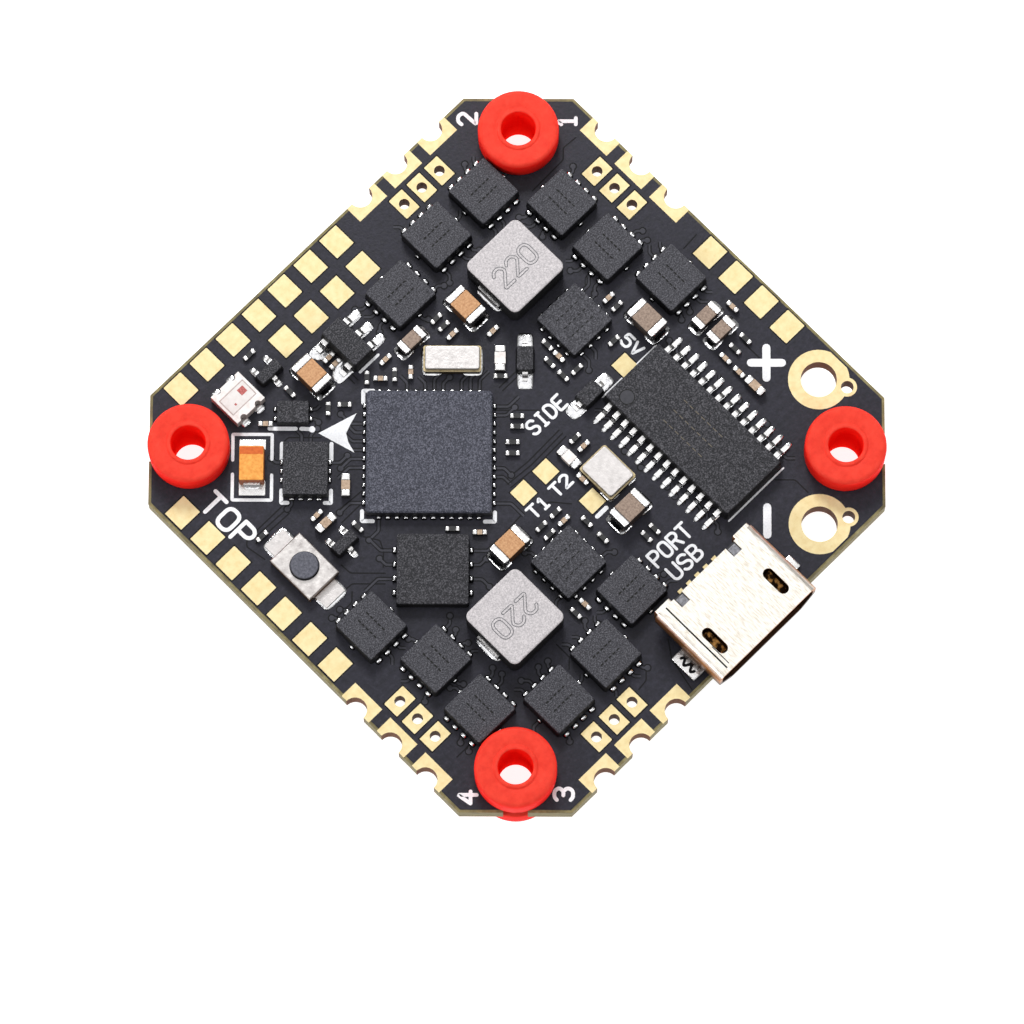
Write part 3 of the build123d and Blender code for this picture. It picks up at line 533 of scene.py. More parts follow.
# The bore's copy of the silicone is brighter and redder and has no gloss: painted light in the shaded bore.
bore_silicone_painted_light = made_of(
    "bore_silicone_painted_light", [(0.95, 0.014, 0.008), (0.98, 0.026, 0.015)], (0.6, 0.75), feature=0.5, bump=0.2,
    bump_feature=0.14, sockets=[("Specular IOR Level", 0.0)])
# The ferrite's near black sides are painted shade.
ferrite = made_of(
    "ferrite_powder", [(0.38, 0.36, 0.37), (0.52, 0.49, 0.50), (0.68, 0.64, 0.65)], (0.50, 0.70),
    places=(0.32, 0.5, 0.68), feature=0.09, detail=5.0, bump=0.5, bump_feature=0.07,
    lighting_tint=(0.010, 0.010, 0.011), lighting_tint_range=(0.35, 0.62), sockets=DULL)


def ceramic(name, colours, lighting_tint, stretch=(1.0, 1.0, 0.4)):
    """Fired body of a capacitor, darker on the sides with painted shade."""
    return made_of(name, colours, (0.32, 0.48), feature=0.12, bump=0.25, bump_feature=0.07, stretch=stretch,
                   lighting_tint=lighting_tint, sockets=DULL)


tan_ceramic = ceramic("tan_ceramic", [(0.42, 0.20, 0.090), (0.64, 0.37, 0.19)], (0.10, 0.045, 0.02))
brown_ceramic = ceramic("brown_ceramic", [(0.19, 0.135, 0.105), (0.38, 0.285, 0.225)], (0.05, 0.035, 0.028))
sand_ceramic = ceramic("sand_ceramic", [(0.32, 0.22, 0.15), (0.58, 0.44, 0.32)], (0.05, 0.035, 0.025),
                       stretch=(1.0, 1.0, 1.0))
black_glaze = made_of(
    "black_glaze", [(0.006, 0.006, 0.007), (0.020, 0.020, 0.022)], (0.25, 0.40), feature=0.15, bump=0.1,
    bump_feature=0.05)
# Where the materials below darken their steep faces, the darker colour is painted shade.
gilded_rim = made_of(
    "gilded_rim", [(0.36, 0.28, 0.15), (0.60, 0.50, 0.30)], (0.3, 0.45), feature=0.2, metallic=0.6, bump=0.15,
    bump_feature=0.06, lighting_tint=(0.07, 0.045, 0.02))
nickel_lid = made_of(
    "nickel_lid", [(0.53, 0.505, 0.495), (0.66, 0.63, 0.62)], (0.32, 0.5), feature=0.3, detail=6.0,
    metallic=0.6, bump=0.3, bump_feature=0.15, lighting_tint=(0.30, 0.28, 0.26))
lamp_white = made_of(
    "lamp_white", [(0.72, 0.66, 0.63), (0.92, 0.89, 0.87)], (0.35, 0.5), feature=0.3, bump=0.25,
    bump_feature=0.1, lighting_tint=(0.50, 0.44, 0.42))
clear_resin = made_of(
    "clear_resin", [(0.86, 0.80, 0.77), (0.97, 0.94, 0.92)], (0.12, 0.22), feature=0.35, detail=5.0,
    sockets=[("Alpha", 0.8), ("IOR", 1.5)])
lamp_shade = made_of("lamp_shade", [(0.34, 0.25, 0.23), (0.52, 0.42, 0.39)], (0.4, 0.6), feature=0.12)
die_red = made_of("die_red", [(0.25, 0.03, 0.03), (0.62, 0.16, 0.14)], (0.3, 0.5), feature=0.08)
orange_case = made_of(
    "orange_case", [(0.68, 0.24, 0.035), (0.88, 0.42, 0.095)], (0.42, 0.58), feature=0.2, bump=0.35,
    bump_feature=0.08, lighting_tint=(0.30, 0.07, 0.01), sockets=DULL)
orange_stripe = made_of(
    "orange_stripe", [(0.52, 0.085, 0.012), (0.66, 0.15, 0.025)], (0.4, 0.55), feature=0.2, bump=0.1,
    bump_feature=0.08, sockets=DULL)
# The shell's browner steep faces and its dark lower part, fading out between 1.2 and 2.1 mm over the board,
# are painted shade.
gilt_steel = made_of(
    "gilt_steel", [(0.66, 0.60, 0.50), (0.84, 0.80, 0.735), (0.90, 0.87, 0.82)], (0.28, 0.42),
    places=(0.34, 0.5, 0.66), feature=0.07, metallic=0.85, bump=0.08, bump_feature=0.08,
    stretch=(1.0, 0.14, 1.0), lighting_tint=(0.50, 0.19, 0.04), lighting_tint_range=(0.25, 0.9),
    low=((0.045, 0.018, 0.008), FACE + 1.2, FACE + 2.1))
# Gilt darkened towards black: painted shade on the latches deep inside the shell's openings.
gilt_in_painted_shade = made_of(
    "gilt_in_painted_shade", [(0.008, 0.004, 0.002), (0.34, 0.17, 0.05)], (0.2, 0.4), places=(0.46, 0.66), feature=0.35,
    metallic=1.0, bump=0.4, bump_feature=0.15)
black_nylon = made_of(
    "black_nylon", [(0.010, 0.010, 0.011), (0.025, 0.025, 0.028)], (0.4, 0.6), feature=0.2, bump=0.2,
    bump_feature=0.08)
grey_nylon = made_of(
    "grey_nylon", [(0.10, 0.10, 0.115), (0.30, 0.30, 0.33)], (0.3, 0.45), feature=0.15, bump=0.3,
    bump_feature=0.08, lighting_tint=(0.01, 0.01, 0.012))
# The plunger's near black sides are a painted shadow round it.
plunger_plastic = made_of(
    "plunger_plastic", [(0.052, 0.053, 0.068), (0.145, 0.148, 0.18)], (0.45, 0.6), feature=0.13, detail=5.0,
    bump=0.6, bump_feature=0.1, lighting_tint=(0.006, 0.006, 0.008), lighting_tint_range=(0.4, 0.85), sockets=DULL)
# The cover's darker, browner sides are painted shade.
switch_steel = made_of(
    "switch_steel", [(0.44, 0.41, 0.40), (0.58, 0.55, 0.535), (0.70, 0.67, 0.65)], (0.26, 0.42),
    places=(0.3, 0.5, 0.7), feature=0.42, detail=5.0, metallic=0.8, bump=0.3, bump_feature=0.2,
    lighting_tint=(0.22, 0.13, 0.08))
white_ink = made_of(
    "white_ink", [(0.74, 0.75, 0.78), (0.90, 0.90, 0.92)], (0.5, 0.7), feature=0.12, bump=0.3,
    bump_feature=0.06)
laser_mark = made_of(
    "laser_mark", [(0.004, 0.004, 0.004), (0.014, 0.014, 0.014)], (0.6, 0.8), feature=0.08, sockets=DULL)
pale_laser_mark = made_of(
    "pale_laser_mark", [(0.07, 0.062, 0.05), (0.20, 0.17, 0.13)], (0.6, 0.8), feature=0.05, sockets=DULL)
dimple = made_of(
    "moulded_dimple", [(0.034, 0.034, 0.041), (0.052, 0.052, 0.062)], (0.4, 0.55), feature=0.3, sockets=DULL)
grey_ink = made_of("grey_ink", [(0.07, 0.07, 0.08), (0.20, 0.20, 0.21)], (0.5, 0.7), feature=0.06)

by_node = {
    "board_core": laminate, "solder_mask_top": mask, "solder_mask_bottom": mask,
    "signal_pads": gold, "motor_pads": gold, "motor_hole_pads": gold, "battery_pads": gold,
    "usb_contacts": gold, "inductor_body": ferrite, "resistor_bodies": black_glaze,
    "crystal_bases": gilded_rim, "crystal_lids": nickel_lid, "rgb_led_body": lamp_white,
    "rgb_led_lens": clear_resin, "status_led_bodies": lamp_white, "tantalum_body": orange_case,
    "usb_shell": gilt_steel, "usb_insulator": black_nylon, "switch_base": black_nylon,
    "switch_cover": switch_steel, "switch_dome": switch_steel, "switch_plunger": plunger_plastic,
    "switch_terminals": nickel_lid, "small_capacitor_bodies": sand_ceramic,
    "osd_chip_terminals": lead_tin, "ldo_terminals": lead_tin, "mcu_body": pale_compound,
    "mosfet_body": power_compound, "gate_driver_body": power_compound,
}
for name, node in nodes.items():
    if name in by_node:
        material = by_node[name]
    elif name.endswith("_body"):
        material = compound
    else:
        material = tin
    node.data.materials.clear()
    node.data.materials.append(material)

# ---- solder and metal ends
SOLDERED = [
    "mcu_terminals", "gyro_terminals", "flash_terminals", "logic_chip_terminals",
    "mosfet_terminals", "gate_driver_terminals", "esc_controller_terminals",
]
DROP_GROWTH = 0.10
DROP_RISE = 0.95


def solder_drops(node):
    """Replaces each square-cut solder solid of a CAD node by a rounded drop."""
    shape = Shape()
    for solid in solids(node):
        side = -1 if solid.below else 1
        height = max(abs(solid.low), abs(solid.high)) - FACE
        size = solid.size.x + DROP_GROWTH, solid.size.y + DROP_GROWTH
        blob(shape, (solid.x, solid.y), size, solid.angle, side * FACE, side * height * DROP_RISE)
    made = shape.piece(node.replace("terminals", "joints"), solder, smooth=True)
    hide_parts(node)


for node in SOLDERED:
    solder_drops(node)

SKIRT_LIP = 0.10
SKIRT_CLIMB = 0.5
# Lands with no metal end on them: growth, rise as a share of the CAD height, least rise and squareness.
BARE_GROWTH = 1.03
BARE_RISE = 1.6
BARE_LEAST_RISE = 0.045
BARE_SQUARENESS = 4.5
fillets = Shape()
ends = solids("large_capacitor_ends") + solids("small_part_ends")
for land in solids("solder_lands"):
    side = -1 if land.below else 1
    at = land.x, land.y
    own_side = [e for e in ends if e.below == land.below]
    near = min(own_side, key=lambda e: math.hypot(e.x - land.x, e.y - land.y))
    if math.hypot(near.x - land.x, near.y - land.y) < max(land.size) / 2:
        size = land.size.x + SKIRT_LIP, land.size.y + SKIRT_LIP
        climb = SKIRT_CLIMB * (max(abs(near.low), abs(near.high)) - FACE)
        skirt(fillets, at, (near.x, near.y), size, land.angle, side * FACE, side * climb)
    else:
        height = max(BARE_LEAST_RISE, BARE_RISE * (max(abs(land.low), abs(land.high)) - FACE))
        blob(fillets, at, land.size * BARE_GROWTH, land.angle, side * FACE, side * height, BARE_SQUARENESS)
made = fillets.piece("solder_fillets", solder, smooth=True)
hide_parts("solder_lands")

CAP_EASE = 0.07
caps = Shape()
for solid in solids("small_part_ends"):
    middle = (solid.x, solid.y, (solid.low + solid.high) / 2)
    rounded_box(caps, middle, (*solid.size, solid.high - solid.low), solid.angle, CAP_EASE)
made = caps.piece("small_part_caps", tin, smooth=True)
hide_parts("small_part_ends")

# The big capacitors come in two ceramics.
TAN_CAPACITORS = [(-5.12, 10.88), (3.65, 7.7), (-4.18, -3.66)]
SAME_PLACE = 0.5
CAPACITOR_EASE = 0.05
tan, brown = Shape(), Shape()
for solid in solids("large_capacitor_bodies"):
    is_tan = any(math.hypot(solid.x - x, solid.y - y) < SAME_PLACE for x, y in TAN_CAPACITORS)
    middle = (solid.x, solid.y, (solid.low + solid.high) / 2)
    size = (*solid.size, solid.high - solid.low)
    rounded_box(tan if is_tan else brown, middle, size, solid.angle, CAPACITOR_EASE)
tan_bodies = tan.piece("tan_capacitors", tan_ceramic)
brown_bodies = brown.piece("brown_capacitors", brown_ceramic)
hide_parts("large_capacitor_bodies")

# ---- silicone grommets
GROMMET_BORE_R = 0.95
GROMMET_NECK_R = 1.5
GROMMET_LIP = 0.10
GROMMET_EDGE = 0.30
GROMMET_FOOT = 0.10
# Faces nearer the axis than this belong to the bore.
BORE_FACE_R = GROMMET_BORE_R + 0.03
# A flat ring round the bore, and the shallow dip outside it as (distance past the ring, share of the step).
RIM_WIDTH = 0.13
RIM_STEP = 0.07
RIM_DIP = ((-0.03, 0.0), (0.0, 0.2), (0.03, 1.0), (0.08, 1.1), (0.16, 0.6))
CROWN_DIP = 0.2


def arc(centre, radius, start, end, steps=8):
    """Points on an arc, given as (radius, height) pairs. Angles are in degrees."""
    angles = [math.radians(start + (end - start) * i / steps) for i in range(steps + 1)]
    return [(centre[0] + radius * math.cos(a), centre[1] + radius * math.sin(a)) for a in angles]


def grommet_profile(outer, top):
    """Half of the bobbin's section above the board, from the bore outwards and down to the neck."""
    half = arc((GROMMET_BORE_R + GROMMET_LIP, top - GROMMET_LIP), GROMMET_LIP, 180, 90, 6)
    rim = GROMMET_BORE_R + GROMMET_LIP + RIM_WIDTH
    half += [(rim + past, top - share * RIM_STEP) for past, share in RIM_DIP]
    half.append(((GROMMET_BORE_R + outer) / 2, top - CROWN_DIP * RIM_STEP))
    half += arc((outer - GROMMET_EDGE, top - GROMMET_EDGE), GROMMET_EDGE, 90, 0)
    half += arc((outer - GROMMET_FOOT, FACE + GROMMET_FOOT), GROMMET_FOOT, 0, -90, 3)
    half.append((GROMMET_NECK_R, FACE))
    return half


for number in range(1, 5):
    node = f"grommet_{number}"
    low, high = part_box(node)
    middle = (low + high) / 2 / MM
    outer = (high.x - low.x) / 2 / MM
    upper = grommet_profile(outer, high.z / MM)
    section = upper + [(r, -z) for r, z in upper[::-1]]
    shape = Shape()
    lathe(shape, middle.xy, section)
    made = shape.piece(f"silicone_grommet_{number}", silicone, smooth=True)
    # Bore faces take the brighter, redder copy of the silicone, as painted light.
    made.data.materials.append(bore_silicone_painted_light)
    for polygon in made.data.polygons:
        if (polygon.center.xy / MM - middle.xy).length < BORE_FACE_R:
            polygon.material_index = 1
    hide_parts(node)

# ---- printed marks
# Letters are strokes on a grid 4 wide and 6 high.
BOWL = [(4, 5), (3, 6), (1, 6), (0, 5), (0, 1), (1, 0), (3, 0), (4, 1)]
LETTERS = {
    "0": [[*BOWL, (4, 5)]],
    "1": [[(0.8, 4.8), (2, 6), (2, 0)], [(0.8, 0), (3.2, 0)]],
    "2": [[(0, 4.8), (1, 6), (3, 6), (4, 4.8), (4, 4), (0, 0), (4, 0)]],
    "3": [[(0, 5.2), (1, 6), (3, 6), (4, 5), (4, 4), (3, 3.1), (1.6, 3.1)],
          [(3, 3.1), (4, 2.2), (4, 1), (3, 0), (1, 0), (0, 0.8)]],
    "4": [[(3, 0), (3, 6), (0, 2)], [(0, 2), (4.2, 2)]],
    "5": [[(3.8, 6), (0.3, 6), (0, 3.4), (1, 3.8), (3, 3.8), (4, 2.8), (4, 1), (3, 0), (1, 0),
           (0, 0.8)]],
    "B": [[(0, 0), (0, 6)], [(0, 6), (2.6, 6), (3.7, 5.2), (3.7, 4), (2.8, 3.1), (0, 3.1)],
          [(2.8, 3.1), (4, 2.2), (4, 0.9), (3, 0), (0, 0)]],
    "D": [[(0, 0), (0, 6), (2.4, 6), (4, 4.6), (4, 1.4), (2.4, 0), (0, 0)]],
    "E": [[(4, 6), (0, 6), (0, 0), (4, 0)], [(0, 3.1), (3, 3.1)]],
    "I": [[(2, 0), (2, 6)], [(1, 6), (3, 6)], [(1, 0), (3, 0)]],
    "O": [[*BOWL, (4, 5)]],
    "P": [[(0, 0), (0, 6)], [(0, 6), (3, 6), (4, 5.1), (4, 3.8), (3, 2.8), (0, 2.8)]],
    "R": [[(0, 0), (0, 6)], [(0, 6), (3, 6), (4, 5.1), (4, 4), (3, 3), (0, 3)], [(2.2, 2.9), (4, 0)]],
    "S": [[(4, 5), (3, 6), (1, 6), (0, 5), (0, 4), (1, 3.2), (3, 2.9), (4, 2), (4, 1), (3, 0), (1, 0),
           (0, 1)]],
    "T": [[(0, 6), (4, 6)], [(2, 6), (2, 0)]],
    "U": [[(0, 6), (0, 1), (1, 0), (3, 0), (4, 1), (4, 6)]],
    "V": [[(0, 6), (2, 0), (4, 6)]],
}
GRID_WIDTH, GRID_HEIGHT = 4, 6
LETTER_SHARE = 0.72
LOOP_ROUNDING = 0.2
BEND_ROUNDING = 0.14
LINE_ROUNDING = 0.05


def lettering(shape, text, at, angle, height, length, thickness, low, high):
    """Text from its lower left point, reading along angle. Strokes that meet get tops of unlike height."""
    pitch = length / (len(text) - 1 + LETTER_SHARE)
    width = pitch * LETTER_SHARE
    turn = rotation(angle)
    for place, letter in enumerate(text):
        for layer, line in enumerate(LETTERS[letter]):
            top = high + layer * CROSSING_STEP
            placed = []
            for x, y in line:
                along, up = place * pitch + x / GRID_WIDTH * width, y / GRID_HEIGHT * height
                placed.append(Vector(at) + turn @ Vector((along, up)))
            if line[0] == line[-1]:
                route = rounded_corners(placed[:-1], LOOP_ROUNDING * height, closed=True)
                stroke(shape, route, thickness, low, top, closed=True)
            else:
                stroke(shape, rounded_corners(placed, BEND_ROUNDING * height), thickness, low, top)


ink_low, ink_high = FACE, FACE + INK_HEIGHT
ink = Shape()


def mark(points, width):
    """Line of white ink through board positions."""
    route = rounded_corners(points, LINE_ROUNDING) if len(points) > 2 else points
    stroke(ink, route, width, ink_low, ink_high)


def mark_uv(points, width):
    mark([from_uv(u, v) for u, v in points], width)


# The motors' numbers, each centred on its point.
NUMERALS = (("2", (11.45, 15.5)), ("1", (15.3, 11.5)), ("4", (-15.6, -11.9)), ("3", (-11.75, -15.45)))
NUMERAL_HEIGHT = 1.02
NUMERAL_WIDTH = 0.62 * NUMERAL_HEIGHT
NUMERAL_STROKE = 0.21
to_corner = rotation(DIAGONAL) @ Vector((NUMERAL_WIDTH / 2, NUMERAL_HEIGHT / 2))
for text, middle in NUMERALS:
    corner = Vector(middle) - to_corner
    lettering(ink, text, corner, DIAGONAL, NUMERAL_HEIGHT, NUMERAL_WIDTH, NUMERAL_STROKE, ink_low, ink_high)
LABELS = [
    # text, lower left point, reading angle, height, length, stroke
    ("TOP", (-14.60, 10.05), -90, 1.22, 3.3, 0.23),
    ("SIDE", (1.32, -0.1), 0, 0.82, 2.5, 0.16),
    ("PORT", (0.85, -10.12), 0, 0.88, 2.7, 0.16),
    ("USB", (1.05, -11.38), 0, 0.88, 2.1, 0.16),
    ("T1", (-2.02, -3.44), 0, 0.7, 1.2, 0.16),
    ("T2", (-0.28, -3.44), 0, 0.7, 1.2, 0.16),
    ("5V", (8.4, 0.4), -90, 0.7, 1.2, 0.16),
]
for label in LABELS:
    lettering(ink, *label, ink_low, ink_high)

# Signs beside the battery pads.
SIGN_STROKE = 0.45
PLUS_AT = (13.3, -6.15)
PLUS_REACH = 0.86
for layer, angle in enumerate((DIAGONAL, -DIAGONAL)):
    arm = rotation(angle) @ Vector((PLUS_REACH, 0))
    top = ink_high + layer * CROSSING_STEP
    stroke(ink, [Vector(PLUS_AT) - arm, Vector(PLUS_AT) + arm], SIGN_STROKE, ink_low, top)
MINUS = [(6.4, -13.05), (7.5, -11.95)]
mark(MINUS, SIGN_STROKE)

ARROW_UV = [(-10.95, 0.95), (-8.85, 2.1), (-9.2, 1.45), (-9.42, 0.95), (-9.3, 0.45), (-8.95, -0.15)]
prism(ink, [from_uv(u, v) for u, v in ARROW_UV], ink_low, ink_high)

# Corner marks round the main controller, and bars beside the gyro.
CORNER_MARKS_UV = [
    [(-8.5, 2.7), (-8.5, 3.38), (-7.95, 3.38)], [(-8.5, -3.45), (-8.5, -4.02), (-7.9, -4.02)],
    [(-1.75, -4.02), (-1.2, -4.02), (-1.2, -3.5)], [(-10.22, 0.35), (-10.22, -0.55)],
    [(-10.22, -2.3), (-10.22, -3.0), (-10.55, -3.0)], [(-12.95, 0.35), (-12.95, -0.55)],
    [(-12.95, -2.3), (-12.95, -3.0), (-12.6, -3.0)], [(-13.65, 1.2), (-12.2, 1.2)],
    [(-11.9, 1.2), (-11.4, 1.18)],
]
CORNER_MARK_WIDTH = 0.22
for points in CORNER_MARKS_UV:
    mark_uv(points, CORNER_MARK_WIDTH)
# A round dot ends the last bar.
DOT_UV = (-11.3, 1.17)
DOT_R = 0.18
DOT_SIDES = 15
DOT_TURN = math.degrees(0.4)
dot_at = Vector(from_uv(*DOT_UV))
dot = [dot_at + rotation(DOT_TURN * k) @ Vector((DOT_R, 0)) for k in range(DOT_SIDES)]
prism(ink, dot, ink_low, ink_high)

# Bracket round the tantalum capacitor, open half way down each long side.
BRACKET_AT = (-14.57, -0.99)
BRACKET_HALF = (1.08, 1.86)
BRACKET_OPENING = (0.4, 0.45)
BRACKET_STROKE = 0.18
u0, v0 = BRACKET_AT
for side in (-1, 1):
    left, right, end = u0 - BRACKET_HALF[0], u0 + BRACKET_HALF[0], v0 + side * BRACKET_HALF[1]
    mark_uv([(left, v0 + side * BRACKET_OPENING[0]), (left, end), (right, end),
             (right, v0 + side * BRACKET_OPENING[1])], BRACKET_STROKE)
PRINTED_LINES = (
    # ends, width
    ([(0.5, -5.75), (1.2, -5.75)], 0.25),
    ([(-3.0, 9.28), (-1.6, 9.28)], 0.16),
    ([(5.45, -11.02), (9.7, -11.02)], 0.1),
    ([(5.5, -1.16), (7.0, -1.16)], 0.1),
    ([(8.2, -1.16), (9.7, -1.16)], 0.1),
)
for ends, width in PRINTED_LINES:
    mark(ends, width)
ink.piece("printed_marks", white_ink)

# ---- copper under the mask
copper, dip_shades = Shape(), Shape()
TRACK_WIDTH = 0.12
TRACK_EDGE = 0.7 * TRACK_WIDTH
TRACK_ROUNDING = 0.08
GROOVE_WIDTH = 0.075
GROOVE_HEIGHT = 0.0035
GROOVE_ROUNDING = 0.1
VIA_SIZE = 0.34
VIA_RISE = 0.010
VIA_RING_R = 0.56 * VIA_SIZE
VIA_RING_SIDES = 12
KEEP_OUT = 0.12

obstacles = []
for name in nodes:
    if name.endswith(("_pads", "_body", "_bodies", "_ends")) or name in ("switch_cover", "usb_shell"):
        obstacles += solids(name)


def is_free(point, side):
    """Whether a point on one face of the board keeps clear of every pad and part there."""
    for solid in obstacles:
        if solid.below != (side < 0):
            continue
        at = rotation(-solid.angle) @ Vector((point[0] - solid.x, point[1] - solid.y))
        if abs(at.x) < solid.size.x / 2 + KEEP_OUT and abs(at.y) < solid.size.y / 2 + KEEP_OUT:
            return False
    return True


def beside(points, offset):
    """The same line moved sideways."""
    line = [Vector(p) for p in points]
    return [here + step * offset for here, step in zip(line, side_steps(line))]


def dip(line, side=1, closed=False):
    """Dark line of painted shade on one face of the board, where the mask dips between two areas of copper.
    """
    low, high = sorted((side * (FACE - SUNK), side * (FACE + GROOVE_HEIGHT)))
    stroke(dip_shades, line, GROOVE_WIDTH, low, high, closed)


def dip_shade_line(points, side=1):
    """Painted shade of a dip along a line whose corners get rounded."""
    dip(rounded_corners(points, GROOVE_ROUNDING, steps=2) if len(points) > 2 else points, side)


def trace(points, via, side):
    """Track under the mask, with lines of painted shade for the dips along both its edges. A via, when
    wanted, closes its far end, ringed by painted shade.
    """
    route = rounded_corners(points, TRACK_ROUNDING, steps=2)
    low, high = sorted((side * FACE, side * (FACE + TRACE_HEIGHT)))
    stroke(copper, route, TRACK_WIDTH, low, high)
    for edge in (-1, 1):
        dip_shade_line(beside(points, edge * TRACK_EDGE), side)
    if via:
        end = Vector(points[-1])
        blob(copper, end, (VIA_SIZE, VIA_SIZE), 0, side * FACE, side * VIA_RISE, squareness=2)
        dip(ring_round(end, VIA_RING_R, VIA_RING_SIDES), side, closed=True)


# Share of pins without a track, share of tracks with a via, and the shortest track as a share of the reach.
SKIPPED_PINS = 0.2
VIA_SHARE = 0.6
SHORTEST_REACH = 0.5


def fan_out(chip_name, reach, seed):
    """Tracks that leave a chip's terminals and bend by 45 degrees half way. Some end in a via."""
    chance = random.Random(seed)
    bodies = solids(chip_name + "_body")
    for pin in solids(chip_name + "_terminals"):
        chip = min(bodies, key=lambda s: math.hypot(s.x - pin.x, s.y - pin.y))
        side = -1 if chip.below else 1
        if chance.random() < SKIPPED_PINS:
            continue
        away = rotation(-chip.angle) @ Vector((pin.x - chip.x, pin.y - chip.y))
        if abs(away.x) > abs(away.y):
            out = Vector((math.copysign(1, away.x), 0))
        else:
            out = Vector((0, math.copysign(1, away.y)))
        outward = out.x * away.y - out.y * away.x
        bend = rotation(math.copysign(DIAGONAL, outward)) @ out
        turn = rotation(chip.angle)
        half_length = reach * chance.uniform(SHORTEST_REACH, 1.0) / 2
        start = Vector((pin.x, pin.y))
        middle = start + turn @ out * half_length
        end = middle + turn @ bend * half_length
        if all(is_free(point, side) for point in (middle, (middle + end) / 2, end)):
            trace([start, middle, end], chance.random() < VIA_SHARE, side)


FAN_OUTS = (
    # chip, reach, seed
    ("mcu", 1.9, 3), ("gyro", 1.2, 4), ("flash", 1.9, 5), ("osd_chip", 0.9, 6), ("gate_driver", 1.3, 7),
    ("logic_chip", 0.9, 8), ("mosfet", 0.9, 9), ("esc_controller", 2.4, 10), ("buck_regulator", 1.8, 11),
)
for chip_name, reach, seed in FAN_OUTS:
    fan_out(chip_name, reach, seed)

# Edges of copper areas and bundles of tracks, on the diagonal axes, drawn as lines of painted shade.
COPPER_EDGES_UV = [
    [(-12.9, 0.4), (-12.6, 0.7), (-10.8, 0.7)],
    [(-12.9, -3.2), (-14.8, -5.1), (-14.8, -5.5), (-13.8, -6.2)],
    [(-8.5, -2.3), (-9.9, -3.5)], [(-8.5, -3.0), (-9.6, -4.1)], [(-7.2, -6.95), (-9.1, -6.95), (-9.6, -6.5)],
    [(-7.2, -7.55), (-9.0, -7.55), (-9.5, -8.0)], [(-8.4, -4.9), (-7.5, -5.1), (-7.3, -5.7), (-7.3, -6.6)],
    [(-1.2, 2.3), (1.2, 2.3)], [(-0.6, -4.6), (0.2, -3.7)], [(1.3, -3.1), (1.8, -2.9), (3.0, -3.0)],
    [(8.3, -10.6), (8.5, -11.7), (9.6, -13.4)], [(6.7, -13.4), (7.1, -12.9), (7.1, -12.4)],
    [(3.2, 18.0), (2.5, 17.4), (2.5, 16.7), (0.8, 14.9)], [(9.9, 12.4), (9.2, 11.6)],
    [(-2.4, 16.6), (-1.6, 15.8), (-1.6, 15.2)], [(12.5, 6.2), (13.6, 5.1), (14.9, 5.1)],
    [(-3.2, -17.2), (-2.2, -16.2), (-1.1, -16.2)], [(-9.8, -9.4), (-9.0, -8.6), (-9.0, -8.0)],
    [(14.2, -1.6), (15.3, -1.6), (16.0, -2.3)], [(11.3, -6.4), (12.2, -5.5), (13.4, -5.5)],
    [(-10.4, 6.4), (-9.7, 5.7), (-9.7, 5.0)], [(-6.5, 12.3), (-5.8, 11.6), (-4.9, 11.6)],
    [(-15.9, 3.6), (-15.3, 3.0), (-14.4, 3.0)], [(2.2, -10.9), (2.9, -11.6), (2.9, -12.3)],
]
for points in COPPER_EDGES_UV:
    dip_shade_line([from_uv(u, v) for u, v in points])
BUNDLES_UV = [
    # route, tracks, spacing
    ([(2.5, 1.0), (0.8, -0.8), (-0.5, -1.9)], 3, 0.26),
    ([(-12.6, -3.5), (-14.4, -5.2)], 2, 0.28),
    ([(-0.9, 3.5), (0.4, 4.8), (0.4, 6.2)], 2, 0.26),
    ([(9.0, 1.2), (10.4, 2.6), (11.9, 2.6)], 2, 0.3),
    ([(-8.9, 3.9), (-10.1, 5.1)], 2, 0.28),
]
for route, count, spacing in BUNDLES_UV:
    placed = [from_uv(u, v) for u, v in route]
    for number in range(count):
        dip_shade_line(beside(placed, (number - (count - 1) / 2) * spacing))

# Painted shade in the gap round each pad's opening in the mask.
PAD_GAP = 0.03
for name in ("signal_pads", "motor_hole_pads"):
    for pad in solids(name):
        if pad.below:
            continue
        half = pad.size / 2 + Vector((PAD_GAP, PAD_GAP))
        dip([pad.point(sx * half.x, sy * half.y) for sx, sy in FOUR_CORNERS], closed=True)
copper.piece("copper_tracks", mask_on_copper)
dip_shades.piece("mask_dip_shades", painted_shade_line)

# ---- marks on the parts
engraving_and_dimple_shade, pale_engraving, digits, digit_fills = Shape(), Shape(), Shape(), Shape()


def dashes(shape, solid, rows, columns, pitch, size, along_own_y=False):
    """Rows of plain dashes on a chip's top, where a maker's lettering would be."""
    for row in range(rows):
        for column in range(columns):
            a = (column - (columns - 1) / 2) * pitch[0]
            b = ((rows - 1) / 2 - row) * pitch[1]
            at = solid.point(b, -a) if along_own_y else solid.point(a, b)
            turn = math.radians(solid.angle - (90 if along_own_y else 0))
            reach = Vector((math.cos(turn), math.sin(turn))) * size[0] / 2
            ends = [Vector(at) - reach, Vector(at) + reach]
            stroke(shape, ends, size[1], solid.high - SUNK, solid.high + MARK_HEIGHT)


# Pins nearer a transistor's middle than this are its own.
OWN_PINS = 2.2
pins = solids("mosfet_terminals")
for chip in solids("mosfet_body"):
    own = [p for p in pins if math.hypot(p.x - chip.x, p.y - chip.y) < OWN_PINS]
    wide_in_y = max(abs(p.y - chip.y) for p in own) > max(abs(p.x - chip.x) for p in own)
    dashes(engraving_and_dimple_shade, chip, rows=2, columns=5, pitch=(0.3, 0.62), size=(0.12, 0.09), along_own_y=wide_in_y)
for chip in solids("gate_driver_body"):
    dashes(engraving_and_dimple_shade, chip, rows=3, columns=5, pitch=(0.36, 0.6), size=(0.16, 0.06))
overlay_chip = solids("osd_chip_body")[0]
dashes(pale_engraving, overlay_chip, rows=3, columns=7, pitch=(0.45, 0.8), size=(0.24, 0.05),
       along_own_y=True)

